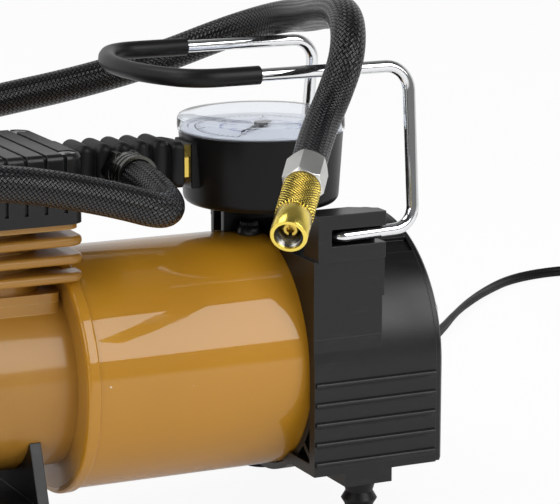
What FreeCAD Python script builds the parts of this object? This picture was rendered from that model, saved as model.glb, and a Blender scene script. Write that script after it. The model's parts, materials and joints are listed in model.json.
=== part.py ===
"""Portable tire inflator: a 12 V piston compressor with a steel motor shell, an end housing with a carrying
handle, a finned pump cylinder, a dial gauge, a braided hose with a screw-on chuck and a coiled supply cord.

Units are millimetres. X runs along the motor axis, from the pump on the left to the end housing on the right.
-Y is the front, Z is up, and Z = 0 is the surface that the rubber feet stand on.
"""

import math
import os

import FreeCAD
import Part

V = FreeCAD.Vector

# Motor shell, a painted steel tube with a rolled bead at its pump end
axis_height = 57.0
shell_radius = 42.5
shell_wall = 1.2
shell_left = -40.0
shell_seat = 5.0
bead_width = 4.6
bead_rise = 1.1
seam_depth = 0.35

# End housing, a plastic moulding with an arched top
housing_left = 42.0
housing_length = 48.0
housing_half_width = 47.5
housing_bottom = 20.0
arch_drop = 1.5
arch_z = axis_height - arch_drop
arch_top = arch_z + housing_half_width
housing_right = housing_left + housing_length
housing_wall = 4.0
slab_length = 26.4
slab_top = arch_top - 6.4
slab_depth = 61.1
slab_inset = 0.8
rib_pitch = 7.1
rib_count = 5
rib_top = arch_z - 2.4
rib_height = 1.7
rib_rise = 0.9
rib_end_gap = 1.2
grip_slot_z = slab_top - 1.4
grip_slot_width = 7.0
grip_slot_depth = 1.6
socket_wall = 2.4
socket_clearance = 0.25
web_thickness = 2.0

# Ears that hold the handle
ear_thickness = 11.5
ear_top = arch_top + 9.7
ear_inset = 1.2
ear_length = 26.0
ear_root_depth = 14.0
ear_corner_length = 9.0
ear_corner_depth = 5.5
ear_slot_left = 6.2
ear_slot_bottom = ear_top - 11.0
ear_slot_height = 5.9
ear_slot_depth = 6.6

# End cover on the right face, with its vents, switch and cord outlet
cover_thickness = 2.6
cover_margin = 2.2
vent_count = 6
vent_width = 2.6
vent_pitch = 5.4
vent_length = 34.0
vent_bottom = axis_height + 13.0
cover_screw_radius = 2.6
cover_screw_head = 1.5
cover_screw_y = housing_half_width - 7.3
cover_screw_low_z = 27.0
cover_screw_high_z = axis_height + 17.0

# Handle, a bent wire with a soft sleeve over its closed end
wire_radius = 2.2
sleeve_radius = 3.2
handle_z = ear_top + 48.6
handle_half_width = housing_half_width - 10.5
handle_top_x = 81.0
handle_foot_x = 80.6
handle_end_x = -15.3
handle_end_corner = 15.0
handle_end_turn = 60.0
handle_top_bend = 8.5
handle_foot_bend = 8.0
handle_pin_bend = 3.4
handle_pin_x = 51.6
handle_pin_z = ear_top - 8.5
handle_leg_y = housing_half_width - 3.1
handle_foot_z = ear_top - 7.3
handle_pin_end_y = housing_half_width - 10.5
pivot_clearance = 0.05
near_sleeve_right = 26.0
far_sleeve_right = 27.0

# Gauge, lying face up on its cradle
gauge_x = 43.6
gauge_bottom = arch_top + 7.6
gauge_foot_radius = 26.0
gauge_rim_radius = 28.2
gauge_rim_z = gauge_bottom + 24.0
gauge_wall = 1.6
lens_radius = 29.8
lens_top = gauge_rim_z + 5.4
lens_wall = 1.4
lens_skirt = 4.4
lens_seat = 0.1
dial_radius = 26.0
dial_thickness = 0.6
dial_z = gauge_rim_z - 0.6
needle_length = 20.0
needle_tail = 7.0
needle_gap = 0.8
needle_thickness = 0.5
arbor_radius = 0.7
movement_plate_gap = 7.0
movement_plate_thickness = 1.2
pinion_radius = 1.7
sector_radius = 11.0
tooth_depth = 0.7
bourdon_radius = 20.5
bourdon_width = 5.0
bourdon_thickness = 1.6
bourdon_z = gauge_bottom + 5.5
bourdon_sweep = 250
bourdon_start = 190
gauge_spigot_radius = 4.1
boss_left = 13.4
boss_half_width = 7.5
boss_reach = 12.2
pipe_z = gauge_bottom + 14.8

# Cradle that carries the gauge over the shell and the housing
cradle_left = 15.0
cradle_right = 66.0
cradle_half_width = 21.0
cradle_top = gauge_bottom + 2.0
cradle_wall = 2.6
cradle_roof = 2.0
cradle_frame_length = 2.4
cradle_frame_wall = 2.2
cradle_bar_out = 11.5
cradle_bar_in = 9.3
cradle_depth = arch_top - axis_height - 16.0
cradle_clearance = 0.15
nut_x = 37.8
nut_y = -3.0
nut_radius = 3.3
nut_height = 4.6
nut_teeth = 14

# Ribbed sleeve over the delivery pipe
sleeve_pitch = 7.0
sleeve_ribs = 5
sleeve_plain_left = 0.6
sleeve_plain_right = 10.4
sleeve_half_depth = 9.0
sleeve_bottom = pipe_z - 6.8
sleeve_top = pipe_z + 10.8
sleeve_corner_length = 7.0
sleeve_corner_depth = 9.0
sleeve_groove = 1.3
sleeve_groove_depth = 1.7
sleeve_plain_drop = 1.4
pipe_radius = 3.0
pipe_bore = 1.6
branch_radius = 2.6
union_flats = 12.0

# Pump cylinder with cooling fins, its cover and head
pump_x = -62.1
fin_half = 28.0
fin_corner = 6.0
fin_thickness = 3.2
fin_pitch = 6.2
fin_count = 3
head_bottom = pipe_z - 11.8
top_fin_z = head_bottom - 6.1
bore_radius = 15.0
cylinder_wall = 4.5
cylinder_bottom = axis_height + 29.0
top_flange_half = 26.8
top_flange_thickness = 2.0
head_half = 17.0
head_plate = 8.0
head_cover_top = head_bottom + 24.0
head_cover_wall = 2.5
valve_plate_thickness = 1.5
valve_plate_half = 25.0
fin_room = 0.6
crank_seat_half = 21.4
head_bolt_offset = 23.0
head_bolt_radius = 1.8
head_post_radius = 3.6
head_bolt_head = 2.6

# Crankcase
crankcase_radius = 33.0
crankcase_wall = 6.0
crankcase_left = -91.0
crank_cover_thickness = 3.0
crank_screw_head = 1.4
crank_screw_radius = 2.4
crank_screw_circle = 28.2
front_plate_thickness = 5.0
crank_throw = 6.0
crank_disc_radius = 15.0
crank_disc_right = -47.5
crank_disc_thickness = 5.0
crank_pin_radius = 3.0
crank_pin_end = -58.3
pivot_gap = 0.4
rod_thickness = 6.8
big_end_radius = 8.0
big_end_bore = 3.4
piston_radius = 14.6
piston_height = 7.0
piston_crown_z = head_bottom - 1.2

# Motor
shaft_radius = 4.0
shaft_right = housing_right - 19.0
can_radius = 35.0
can_wall = 2.0
can_left = -35.0
can_right = 47.0
magnet_thickness = 5.5
magnet_left = -24.0
magnet_right = 20.0
magnet_angle = 116.0
rotor_radius = 26.6
rotor_left = -19.0
rotor_right = 13.0
slot_count = 12
slot_width = 3.4
slot_depth = 8.5
winding_radius = 24.0
winding_length = 8.0
commutator_radius = 11.0
commutator_left = 23.0
commutator_right = 36.0
commutator_bars = 12
bearing_radius = 11.0
bearing_width = 7.0
rear_plate_thickness = 4.0
brush_plate_thickness = 3.0
brush_width = 6.0
brush_height = 8.0
running_gap = 0.05
fan_left = shaft_right - 14.0
fan_width = 13.0
fan_radius = 30.0
fan_hub_radius = 10.0
fan_blades = 9
fan_blade_thickness = 1.6

# Feet and their brackets
foot_height = 15.0
foot_profile = ((6.0, 15.0), (4.8, 11.0), (6.4, 8.3), (4.9, 5.8), (7.0, 2.6), (7.8, 1.0), (7.8, 0.0))
foot_peg_radius = 3.0
foot_peg_length = 3.5
foot_hollow_radius = 5.0
foot_hollow_depth = 1.6
right_foot_x = 63.3
right_foot_y = housing_half_width - 7.5
foot_boss_half_length = 9.1
foot_boss_depth = 15.0
left_foot_x = -64.0
left_foot_y = 30.0
bracket_half_length = 12.0
bracket_half_width = 37.0
bracket_thickness = 4.0

# Rocker switch on the end cover
switch_y = 0.0
switch_z = axis_height - 1.0
switch_half_width = 7.5
switch_half_height = 10.5
switch_bezel = 1.0
switch_depth = 13.0
rocker_half_width = 5.2
rocker_half_height = 7.7
rocker_tilt = 10.0
rocker_pin_radius = 1.2

# Supply cord, its strain relief and its coil
cord_radius = 2.4
gland_y = 20.0
gland_z = 30.0
gland_length = 15.0
gland_rings = 3
gland_cord_start = 2.0
gland_clearance = 0.1
gland_base_radius = 4.6
gland_tip_radius = 3.3
coil_x = 338.0
coil_y = 176.0
coil_base = 3.4
coil_inner_turn = 25.2
coil_gap = 0.55
coil_turns_per_layer = 2
coil_layers = 4
tie_width = 5.0
tie_gap = 0.4
tie_thickness = 0.6
lead_first_run = 30.0
lead_last_run = 18.0

# 12 V plug
plug_rear_y = 94.0
plug_relief_length = 9.0
plug_relief_radius = 3.6
plug_grip_radius = 12.0
plug_grip_length = 38.0
plug_grip_ribs = 6
plug_barrel_radius = 10.4
plug_barrel_length = 24.0
plug_nose_radius = 7.6
plug_nose_length = 9.0
plug_tip_radius = 2.9
plug_tip_reach = 5.0
plug_tip_travel = 2.5
plug_contact_width = 5.0
plug_contact_rise = 1.0

# Braided hose and its ends
hose_radius = 6.0
fitting_x = -13.4
fitting_z = pipe_z + 1.6
fitting_bore = 1.4
fitting_hex_flats = 14.0
fitting_hex_length = 6.0
fitting_collar_wall = 1.2
fitting_collar_length = 8.5
hose_gap = 0.1
hose_first_run = 16.0
hose_last_run = 18.0
chuck_root = V(28.4, -72.0, pipe_z + 14.9)
chuck_direction = V(-0.534, -0.747, -0.397)
nut_flats = 13.2
nut_length = 15.0
nut_bore = 1.8
stem_radius = 2.6
stem_flange_radius = 3.5
stem_flange_thickness = 1.7
chuck_gap = 0.4
chuck_neck_length = 4.6
chuck_knurled_length = 16.6
chuck_plain_length = 15.0
chuck_knurled_radius = 6.3
chuck_plain_radius = 6.05
chuck_cavity_radius = 4.1
chuck_thread_radius = 3.85
chuck_thread_length = 6.6
chuck_mouth_chamfer = 0.8
chuck_seal_thickness = 2.5
chuck_pin_radius = 2.3
chuck_pin_length = 4.2
knurl_count = 24
knurl_depth = 0.35

# Route of the hose from its fitting, round the pump and over the handle to the chuck.
# Each point has its x, its y and its height above the delivery pipe.
hose_route = (
    (-13.4, -57.0, -5.9),
    (-40.0, -57.5, 3.1),
    (-76.0, -58.0, 11.1),
    (-108.0, -51.0, 9.6),
    (-125.0, -27.0, 7.6),
    (-129.0, 3.0, 6.6),
    (-122.0, 32.0, 6.6),
    (-99.0, 54.0, 7.6),
    (-66.0, 60.0, 12.1),
    (-34.0, 61.5, 16.6),
    (-2.0, 62.0, 22.1),
    (29.0, 58.5, 30.6),
    (55.0, 53.5, 39.1),
    (70.0, 39.0, 44.8),
    (69.0, 13.0, 48.1),
    (62.5, -14.0, 53.1),
    (56.3, -42.0, 56.1),
    (49.5, -57.0, 44.6),
    (44.5, -55.5, 29.6),
)
hose_first_bend = 13.0

# Route of the supply cord from its strain relief along the surface to the coil
cord_route = (
    (124.0, 20.0, 30.0),
    (134.2, 43.8, 7.9),
    (143.0, 78.0, 2.4),
    (163.0, 118.0, 2.4),
    (190.0, 154.0, 2.4),
    (221.0, 187.0, 2.4),
    (247.0, 218.0, 2.4),
    (276.0, 246.0, 2.4),
    (306.0, 268.0, 2.4),
    (341.0, 272.0, 2.4),
    (367.0, 254.0, 2.4),
)
cord_last_run = 46.0

# Derived places
cover_right = housing_right + cover_thickness
slab_right = housing_left + slab_length
gauge_axis = V(gauge_x, 0, 0)
coil_step = 2 * cord_radius + coil_gap
sleeve_left = pump_x + fin_half
head_low = head_bottom + valve_plate_thickness
pipe_left = sleeve_left - head_cover_wall - 3.0
head_top = head_cover_top - head_cover_wall
movement_low = dial_z - movement_plate_gap - movement_plate_thickness

os.makedirs("parts", exist_ok=True)


def box(x0, x1, y0, y1, z0, z1):
    return Part.makeBox(x1 - x0, y1 - y0, z1 - z0, V(x0, y0, z0))


def rod_x(radius, x0, x1, y=0.0, z=axis_height):
    """A round bar along X."""
    return Part.makeCylinder(radius, x1 - x0, V(x0, y, z), V(1, 0, 0))


def rod_y(radius, y0, y1, x, z):
    """A round bar along Y."""
    return Part.makeCylinder(radius, y1 - y0, V(x, y0, z), V(0, 1, 0))


def rod_z(radius, z0, z1, x=0.0, y=0.0):
    """A round bar along Z."""
    return Part.makeCylinder(radius, z1 - z0, V(x, y, z0))


def ring_x(outer, inner, x0, x1, y=0.0, z=axis_height):
    return rod_x(outer, x0, x1, y, z).cut(rod_x(inner, x0 - 1, x1 + 1, y, z))


def fused(shapes):
    """One solid from overlapping shapes."""
    first, rest = shapes[0], shapes[1:]
    return first.fuse(rest).removeSplitter() if rest else first


def group(shapes):
    """Separate solids in one node."""
    return Part.makeCompound(shapes)


def mirrored_y(shape):
    return shape.mirror(V(0, 0, 0), V(0, 1, 0))


def turned(shape, base, axis, angle):
    copy = shape.copy()
    copy.rotate(base, axis, angle)
    return copy


def face_of(points):
    """A flat face inside straight edges through the points."""
    corners = [V(*p) for p in points]
    return Part.Face(Part.makePolygon(corners + corners[:1]))


def rounded_plate(half_x, half_y, corner, z0, z1, x=0.0, y=0.0):
    """A plate with rounded upright corners, centred on x and y."""
    plate = box(x - half_x, x + half_x, y - half_y, y + half_y, z0, z1)
    upright = [e for e in plate.Edges if abs(e.tangentAt(e.FirstParameter).z) > 0.9]
    return plate.makeFillet(corner, upright)


def hexagon(flats, length, base, direction):
    """A hexagonal bar with a chamfer at its far end."""
    radius = flats / math.sqrt(3)
    ring = [V(radius * math.cos(math.pi * k / 3), radius * math.sin(math.pi * k / 3), 0) for k in range(6)]
    bar = Part.Face(Part.makePolygon(ring + ring[:1])).extrude(V(0, 0, length))
    cone = Part.makeCone(radius + length * 0.9, radius - length * 0.1, length * 1.0)
    bar = bar.common(cone)
    return placed(bar, base, direction)


def placed(shape, base, direction):
    """A shape built along +Z from the origin, set at base along direction."""
    copy = shape.copy()
    copy.Placement = FreeCAD.Placement(base, FreeCAD.Rotation(V(0, 0, 1), direction))
    return copy


def revolved(points, centre=V(0, 0, 0)):
    """A solid of revolution about the vertical line through centre, from (radius, z) points."""
    outline = face_of([(centre.x + r, centre.y, z) for r, z in points])
    return outline.revolve(centre, V(0, 0, 1), 360)


def corner_arc(enter, corner, leave):
    """The arc that touches both runs of a corner. The two points lie equally far from the corner."""
    before = (corner - enter).normalize()
    after = (leave - corner).normalize()
    turn = before.getAngle(after)
    radius = (corner - enter).Length / math.tan(turn / 2)
    inward = (after - before).normalize()
    centre = corner + inward * (radius / math.cos(turn / 2))
    return Part.Arc(enter, centre - inward * radius, leave).toShape()


def route_edges(points, radii=None):
    """Straight runs joined by arcs that touch them. A corner without a radius takes the widest arc."""
    spots = [V(*p) for p in points]
    runs = [(b - a).Length for a, b in zip(spots, spots[1:])]
    wanted = radii or {}
    edges, start = [], spots[0]
    for k in range(1, len(spots) - 1):
        before = (spots[k] - spots[k - 1]).normalize()
        after = (spots[k + 1] - spots[k]).normalize()
        reach = 0.48 * min(runs[k - 1], runs[k])
        if k in wanted:
            reach = wanted[k] * math.tan(before.getAngle(after) / 2)
        enter, leave = spots[k] - before * reach, spots[k] + after * reach
        edges.append(Part.LineSegment(start, enter).toShape())
        edges.append(corner_arc(enter, spots[k], leave))
        start = leave
    edges.append(Part.LineSegment(start, spots[-1]).toShape())
    return edges


def biarc(start, start_way, end, end_way):
    """Two arcs from one point and direction to another, for a half turn."""
    reach = (end - start).Length / 2
    first, second = start + start_way * reach, end - end_way * reach
    middle = (first + second) * 0.5
    return [corner_arc(start, first, middle), corner_arc(middle, second, end)]


def tube(edges, radius):
    """A round solid along the edges."""
    wire = Part.Wire(edges)
    first = edges[0]
    start = first.valueAt(first.FirstParameter)
    profile = Part.Wire(Part.makeCircle(radius, start, first.tangentAt(first.FirstParameter)))
    return wire.makePipeShell([profile], True, False)


def least_gap(edges, radius):
    """The least free distance between parts of one tube that lie at least a turn's width apart along it."""
    points = []
    for edge in edges:
        points += edge.discretize(Number=max(3, int(edge.Length / 2.5)))[:-1]
    along = [0.0]
    for a, b in zip(points, points[1:]):
        along.append(along[-1] + (b - a).Length)
    least = 1e9
    for i in range(len(points)):
        for j in range(i + 1, len(points)):
            if along[j] - along[i] > 6 * radius:
                least = min(least, (points[j] - points[i]).Length)
    return least - 2 * radius


def save(name, shape):
    shape.exportStep(f"parts/{name}.step")


# Motor shell
def motor_shell():
    """The painted tube, with its rolled bead and its long seam."""
    right = housing_left + shell_seat
    outer = rod_x(shell_radius, shell_left, right)
    bead = rod_x(shell_radius + bead_rise, shell_left, shell_left + bead_width)
    rims = [e for e in bead.Edges if isinstance(e.Curve, Part.Circle)]
    bead = bead.makeFillet(bead_rise * 0.9, rims)
    bore = rod_x(shell_radius - shell_wall, shell_left - 1, right + 1)
    shell = outer.fuse(bead).cut(bore)
    seam = box(
        shell_left + bead_width + 1, right + 1, shell_radius - seam_depth, shell_radius + 1,
        axis_height - 0.4, axis_height + 0.4,
    )
    seam.rotate(V(0, 0, axis_height), V(1, 0, 0), -20)
    return shell.cut(seam)


# End housing
def tombstone(half_width, x0, x1, bottom, centre_z, radius):
    """A block with upright sides under a half-round top."""
    left, right = V(x0, -half_width, bottom), V(x0, half_width, bottom)
    shoulder_left, shoulder_right = V(x0, -half_width, centre_z), V(x0, half_width, centre_z)
    edges = [
        Part.LineSegment(left, right).toShape(),
        Part.LineSegment(right, shoulder_right).toShape(),
        Part.Arc(shoulder_right, V(x0, 0, centre_z + radius), shoulder_left).toShape(),
        Part.LineSegment(shoulder_left, left).toShape(),
    ]
    return Part.Face(Part.Wire(edges)).extrude(V(x1 - x0, 0, 0))


def ear():
    """The front block that holds one leg of the handle, with its slot and its pivot hole."""
    x0 = housing_left + ear_inset
    x1 = x0 + ear_length
    front, back = -housing_half_width, -housing_half_width + ear_thickness
    low = slab_top - ear_root_depth
    block = box(x0, x1, front, back, low, ear_top)
    corner_x, corner_y = x1 - ear_corner_length, back - ear_corner_depth
    outline = [(corner_x, back), (x1, corner_y), (x1 + 1, corner_y), (x1 + 1, back + 1), (corner_x, back + 1)]
    corner = face_of([(x, y, low - 1) for x, y in outline])
    block = block.cut(corner.extrude(V(0, 0, ear_top - low + 2)))
    slot_left, slot_top = housing_left + ear_slot_left, ear_slot_bottom + ear_slot_height
    slot = box(slot_left, x1 + 1, front - 1, front + ear_slot_depth, ear_slot_bottom, slot_top)
    return block.cut(slot)


def end_housing():
    """The moulding that takes the motor shell's end and carries the ears, ribs and foot bosses."""
    outer = tombstone(
        housing_half_width, housing_left, housing_right, housing_bottom, arch_z, housing_half_width
    )
    slab_half = housing_half_width - slab_inset
    slab = box(housing_left, slab_right, -slab_half, slab_half, slab_top - slab_depth, slab_top)
    front_ear = ear()
    body = outer.fuse([slab, front_ear, mirrored_y(front_ear)])
    inner_half = housing_half_width - housing_wall
    cavity = tombstone(
        inner_half, housing_left - 1, housing_right + 1, housing_bottom + housing_wall, arch_z, inner_half
    )
    body = body.cut(cavity)
    body = body.fuse([housing_web(), socket_ring()] + socket_ribs())
    for k in range(rib_count):
        body = body.fuse(louvre(k))
        body = body.fuse(mirrored_y(louvre(k)))
    boss_left_x, boss_right_x = right_foot_x - foot_boss_half_length, right_foot_x + foot_boss_half_length
    boss_front, boss_back = -housing_half_width, -housing_half_width + foot_boss_depth
    front = box(boss_left_x, boss_right_x, boss_front, boss_back, foot_height, housing_bottom + 1)
    body = body.fuse([front, mirrored_y(front)])
    for y in (-right_foot_y, right_foot_y):
        body = body.cut(
            rod_z(foot_peg_radius, foot_height - 1, foot_height + foot_peg_length, right_foot_x, y)
        )
    hole_y = -housing_half_width + ear_slot_depth - 1
    hole = rod_y(
        wire_radius + pivot_clearance, hole_y, -housing_half_width + ear_thickness + 1, handle_pin_x,
        handle_pin_z,
    )
    body = body.cut([hole, mirrored_y(hole)])
    for angle in (-1, 1):
        body = body.cut(grip_slot(angle))
    for y, z in cover_screw_places():
        post = rod_x(4.0, housing_right - 12, housing_right, y, z)
        body = body.fuse(post.common(outer)).cut(rod_x(1.3, housing_right - 11, housing_right + 1, y, z))
    shell_room = rod_x(
        shell_radius + socket_clearance, housing_left - 1, housing_left + shell_seat + socket_clearance
    )
    can_room = rod_x(can_radius + socket_clearance, housing_left - 1, can_right + rear_plate_thickness + 0.5)
    body = body.cut([cover_recess(), shell_room, can_room])
    return body.removeSplitter()


def louvre(k):
    """One raised rib across the front face: flat on top and sloped below."""
    z = rib_top - k * rib_pitch
    y = -housing_half_width
    outline = face_of(
        [
            (housing_left + rib_end_gap, y + 0.5, z), (housing_left + rib_end_gap, y - rib_rise, z - 0.3),
            (housing_left + rib_end_gap, y + 0.5, z - rib_height - 1.2),
        ]
    )
    return outline.extrude(V(housing_length - 2 * rib_end_gap, 0, 0))


def grip_slot(side):
    """A long shallow slot in the arch, right of the ear."""
    radius = housing_half_width
    angle = math.acos((grip_slot_z - arch_z) / radius)
    slot = box(
        slab_right, housing_right + 1, -grip_slot_width / 2, grip_slot_width / 2,
        radius - grip_slot_depth, radius + 5,
    )
    slot.translate(V(0, 0, arch_z))
    return turned(slot, V(0, 0, arch_z), V(1, 0, 0), -side * math.degrees(angle))


def housing_web():
    """The wall inside the housing that the shell's end stops against."""
    x0 = housing_left + shell_seat + socket_clearance
    half = housing_half_width - 1
    web = tombstone(half, x0, x0 + web_thickness, housing_bottom + 1, arch_z, half)
    return web.fuse(rod_x(shell_radius + socket_clearance + socket_wall, x0, x0 + web_thickness))


def socket_ring():
    """The ring that the end of the motor shell sits in."""
    inner = shell_radius + socket_clearance
    return ring_x(inner + socket_wall, inner, housing_left + 1.5, housing_left + shell_seat + 1)


def socket_ribs():
    """Stiffening ribs between the ring and the corners."""
    inner = shell_radius + socket_clearance + 1
    ribs = []
    for angle in (128, 142, 156, -128, -142, -156):
        rib = box(housing_left + 1.5, housing_left + shell_seat + 1, -0.9, 0.9, inner, inner + 22)
        rib.translate(V(0, 0, axis_height))
        rib.rotate(V(0, 0, axis_height), V(1, 0, 0), angle)
        keep = tombstone(
            housing_half_width - 1, housing_left, housing_right, housing_bottom + 1, arch_z,
            housing_half_width - 1,
        )
        ribs.append(rib.common(keep))
    return ribs


def cover_outline(margin, x0, x1):
    half = housing_half_width - margin
    return tombstone(half, x0, x1, housing_bottom + margin, arch_z, half)


def cover_recess():
    """The step that the end cover's rim would sit on, open to the cavity."""
    return cover_outline(cover_margin + 0.4, housing_right - 1.2, housing_right + 1)


def cover_screw_places():
    return [(side * cover_screw_y, z) for side in (-1, 1) for z in (cover_screw_low_z, cover_screw_high_z)]


def end_cover():
    """The plate on the right face, with a spigot, vents, the switch cut-out and the cord outlet."""
    plate = cover_outline(0.3, housing_right, cover_right)
    rim = [e for e in plate.Edges if abs(e.CenterOfMass.x - cover_right) < 1e-6]
    plate = plate.makeChamfer(1.0, rim)
    spigot = cover_outline(cover_margin + 0.6, housing_right - 1.0, housing_right + 0.5)
    cover = plate.fuse(spigot)
    for k in range(vent_count):
        z = vent_bottom + k * vent_pitch
        half = vent_length / 2 - 1.6 * k
        cover = cover.cut(box(housing_right - 2, cover_right + 1, -half, half, z, z + vent_width))
    cut = box(
        housing_right - 2, cover_right + 1, switch_y - switch_half_width + 1.2,
        switch_y + switch_half_width - 1.2, switch_z - switch_half_height + 1.2,
        switch_z + switch_half_height - 1.2,
    )
    cover = cover.cut(cut)
    cover = cover.cut(rod_x(gland_tip_radius, housing_right - 2, cover_right + 1, gland_y, gland_z))
    for y, z in cover_screw_places():
        cover = cover.cut(rod_x(1.6, housing_right - 2, cover_right + 1, y, z))
    return cover.removeSplitter()


def cover_screws():
    """Four pan-head screws with crossed slots."""
    screws = []
    for y, z in cover_screw_places():
        head = rod_x(cover_screw_radius, cover_right, cover_right + cover_screw_head, y, z)
        outer_edge = [e for e in head.Edges if abs(e.CenterOfMass.x - cover_right - cover_screw_head) < 1e-6]
        head = head.makeFillet(cover_screw_head * 0.6, outer_edge)
        shank = rod_x(1.3, housing_right - 8, cover_right + 0.1, y, z)
        slots = [box(cover_right + 0.7, cover_right + 3, y - 1.5, y + 1.5, z - 0.35, z + 0.35)]
        slots.append(box(cover_right + 0.7, cover_right + 3, y - 0.35, y + 0.35, z - 1.5, z + 1.5))
        screws.append(head.fuse(shank).cut(slots))
    return screws


# Handle
def handle_points():
    """The half width, the corner's turn and radius, the wide arc's radius and where the arcs begin."""
    half, turn = handle_half_width, math.radians(handle_end_turn)
    corner = handle_end_corner
    big = (half - corner + corner * math.cos(turn)) / math.cos(turn)
    start_x = handle_end_x + corner * math.sin(turn) + big * (1 - math.sin(turn))
    return half, turn, corner, big, start_x


def handle_wire(radius, grip_only=False):
    """The bent wire, or the sleeve over its closed end."""
    half, turn, corner, big, start_x = handle_points()
    join = V(start_x - corner * math.sin(turn), -half + corner * (1 - math.cos(turn)), handle_z)
    middle_a = V(start_x - corner * math.sin(turn / 2), -half + corner * (1 - math.cos(turn / 2)), handle_z)
    back = lambda p: V(p.x, -p.y, p.z)
    arcs = [
        Part.Arc(V(start_x, -half, handle_z), middle_a, join).toShape(),
        Part.Arc(join, V(handle_end_x, 0, handle_z), back(join)).toShape(),
        Part.Arc(back(join), back(middle_a), V(start_x, half, handle_z)).toShape(),
    ]
    if grip_only:
        edges = [
            Part.LineSegment(V(near_sleeve_right, -half, handle_z), V(start_x, -half, handle_z)).toShape()
        ]
        edges += arcs
        edges.append(
            Part.LineSegment(V(start_x, half, handle_z), V(far_sleeve_right, half, handle_z)).toShape()
        )
        start, direction = V(near_sleeve_right, -half, handle_z), V(-1, 0, 0)
    else:
        leg = [
            (handle_pin_x, -handle_pin_end_y, handle_pin_z),
            (handle_pin_x, -handle_leg_y, handle_pin_z),
            (handle_foot_x, -handle_leg_y, handle_foot_z),
            (handle_top_x, -half, handle_z),
            (start_x, -half, handle_z),
        ]
        front = route_edges(leg, {1: handle_pin_bend, 2: handle_foot_bend, 3: handle_top_bend})
        behind = [(x, -y, z) for x, y, z in reversed(leg)]
        behind = route_edges(behind, {1: handle_top_bend, 2: handle_foot_bend, 3: handle_pin_bend})
        edges = front + arcs + behind
        start, direction = V(*leg[0]), V(0, -1, 0)
    profile = Part.Wire(Part.makeCircle(radius, start, direction))
    return Part.Wire(Part.__sortEdges__(edges)).makePipeShell([profile], True, True)


# Gauge
def gauge_case():
    """The tapered cup of the gauge, open at its top, with the square boss that takes the pipe."""
    outer = revolved(
        [
            (0, gauge_bottom), (gauge_foot_radius - 2.4, gauge_bottom),
            (gauge_foot_radius, gauge_bottom + 2.6), (gauge_rim_radius, gauge_rim_z), (0, gauge_rim_z),
        ],
        gauge_axis,
    )
    boss_top = gauge_rim_z - lens_skirt - 0.3
    boss_right = boss_left + boss_reach
    boss = box(boss_left, boss_right, -boss_half_width, boss_half_width, pipe_z - boss_half_width, boss_top)
    inner = revolved(
        [
            (0, gauge_bottom + gauge_wall),
            (gauge_foot_radius - gauge_wall - 1.4, gauge_bottom + gauge_wall),
            (gauge_foot_radius - gauge_wall, gauge_bottom + 3.6),
            (gauge_rim_radius - gauge_wall, gauge_rim_z + 1), (0, gauge_rim_z + 1),
        ],
        gauge_axis,
    )
    case = outer.fuse(boss).cut(inner)
    return case.cut(rod_x(gauge_spigot_radius + 0.1, boss_left - 1, gauge_x, 0, pipe_z)).removeSplitter()


def gauge_lens():
    """The clear cap, with a slightly domed face and a deep skirt round the case."""
    skirt_inner = gauge_rim_radius + lens_seat
    outer = [
        (0, lens_top), (lens_radius - 5, lens_top - 0.5), (lens_radius - 1.2, lens_top - 1.6),
        (lens_radius, lens_top - 2.8), (lens_radius, gauge_rim_z - lens_skirt),
    ]
    inner = [
        (skirt_inner, gauge_rim_z - lens_skirt), (skirt_inner, gauge_rim_z + 0.1),
        (skirt_inner - 1.2, gauge_rim_z + 0.1), (skirt_inner - 1.2, lens_top - lens_wall - 2.0),
        (0, lens_top - lens_wall - 0.4),
    ]
    return revolved(outer + inner, gauge_axis)


def gauge_dial():
    plate = rod_z(dial_radius, dial_z - dial_thickness, dial_z, gauge_x)
    return plate.cut(rod_z(arbor_radius + 0.3, dial_z - 2, dial_z + 1, gauge_x))


def gauge_needle():
    """The pointer, its hub, its arbor and the pinion under the dial."""
    z0 = dial_z + needle_gap
    angle = math.radians(225)
    along, across = V(math.cos(angle), math.sin(angle), 0), V(-math.sin(angle), math.cos(angle), 0)
    centre = V(gauge_x, 0, z0)
    corners = [
        centre + along * needle_length, centre + across * 1.1,
        centre - along * needle_tail + across * 1.5, centre - along * needle_tail - across * 1.5,
        centre - across * 1.1,
    ]
    blade = Part.Face(Part.makePolygon(corners + corners[:1])).extrude(V(0, 0, needle_thickness))
    hub = rod_z(2.4, z0, z0 + 1.0, gauge_x)
    bottom = movement_low + 0.3
    arbor = rod_z(arbor_radius, bottom, z0 + 0.5, gauge_x)
    plate_top = movement_low + movement_plate_thickness
    pinion = rod_z(pinion_radius, plate_top + 1.0, plate_top + 3.0, gauge_x)
    return fused([blade, hub, arbor, pinion])


def sector_pivot():
    return V(gauge_x - sector_radius - pinion_radius - 0.35, 0, 0)


def sector_gear():
    """The toothed sector that turns the pinion, with its tail to the bourdon tube."""
    pivot = sector_pivot()
    bottom = movement_low + movement_plate_thickness + 1.5
    teeth = []
    steps = 9
    for k in range(steps + 1):
        angle = math.radians(-44 + 48 * k / steps)
        teeth.append((sector_radius - tooth_depth * (k % 2), angle))
    outline = [(pivot.x, -1.5, bottom)] + [
        (pivot.x + r * math.cos(a), r * math.sin(a), bottom) for r, a in teeth
    ] + [(pivot.x, 1.5, bottom)]
    sector = face_of(outline).extrude(V(0, 0, 1.0))
    hub = rod_z(2.2, bottom, bottom + 1.0, pivot.x)
    pin = rod_z(0.8, movement_low + 0.3, dial_z - 1.4, pivot.x)
    return fused([sector, hub, pin])


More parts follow.
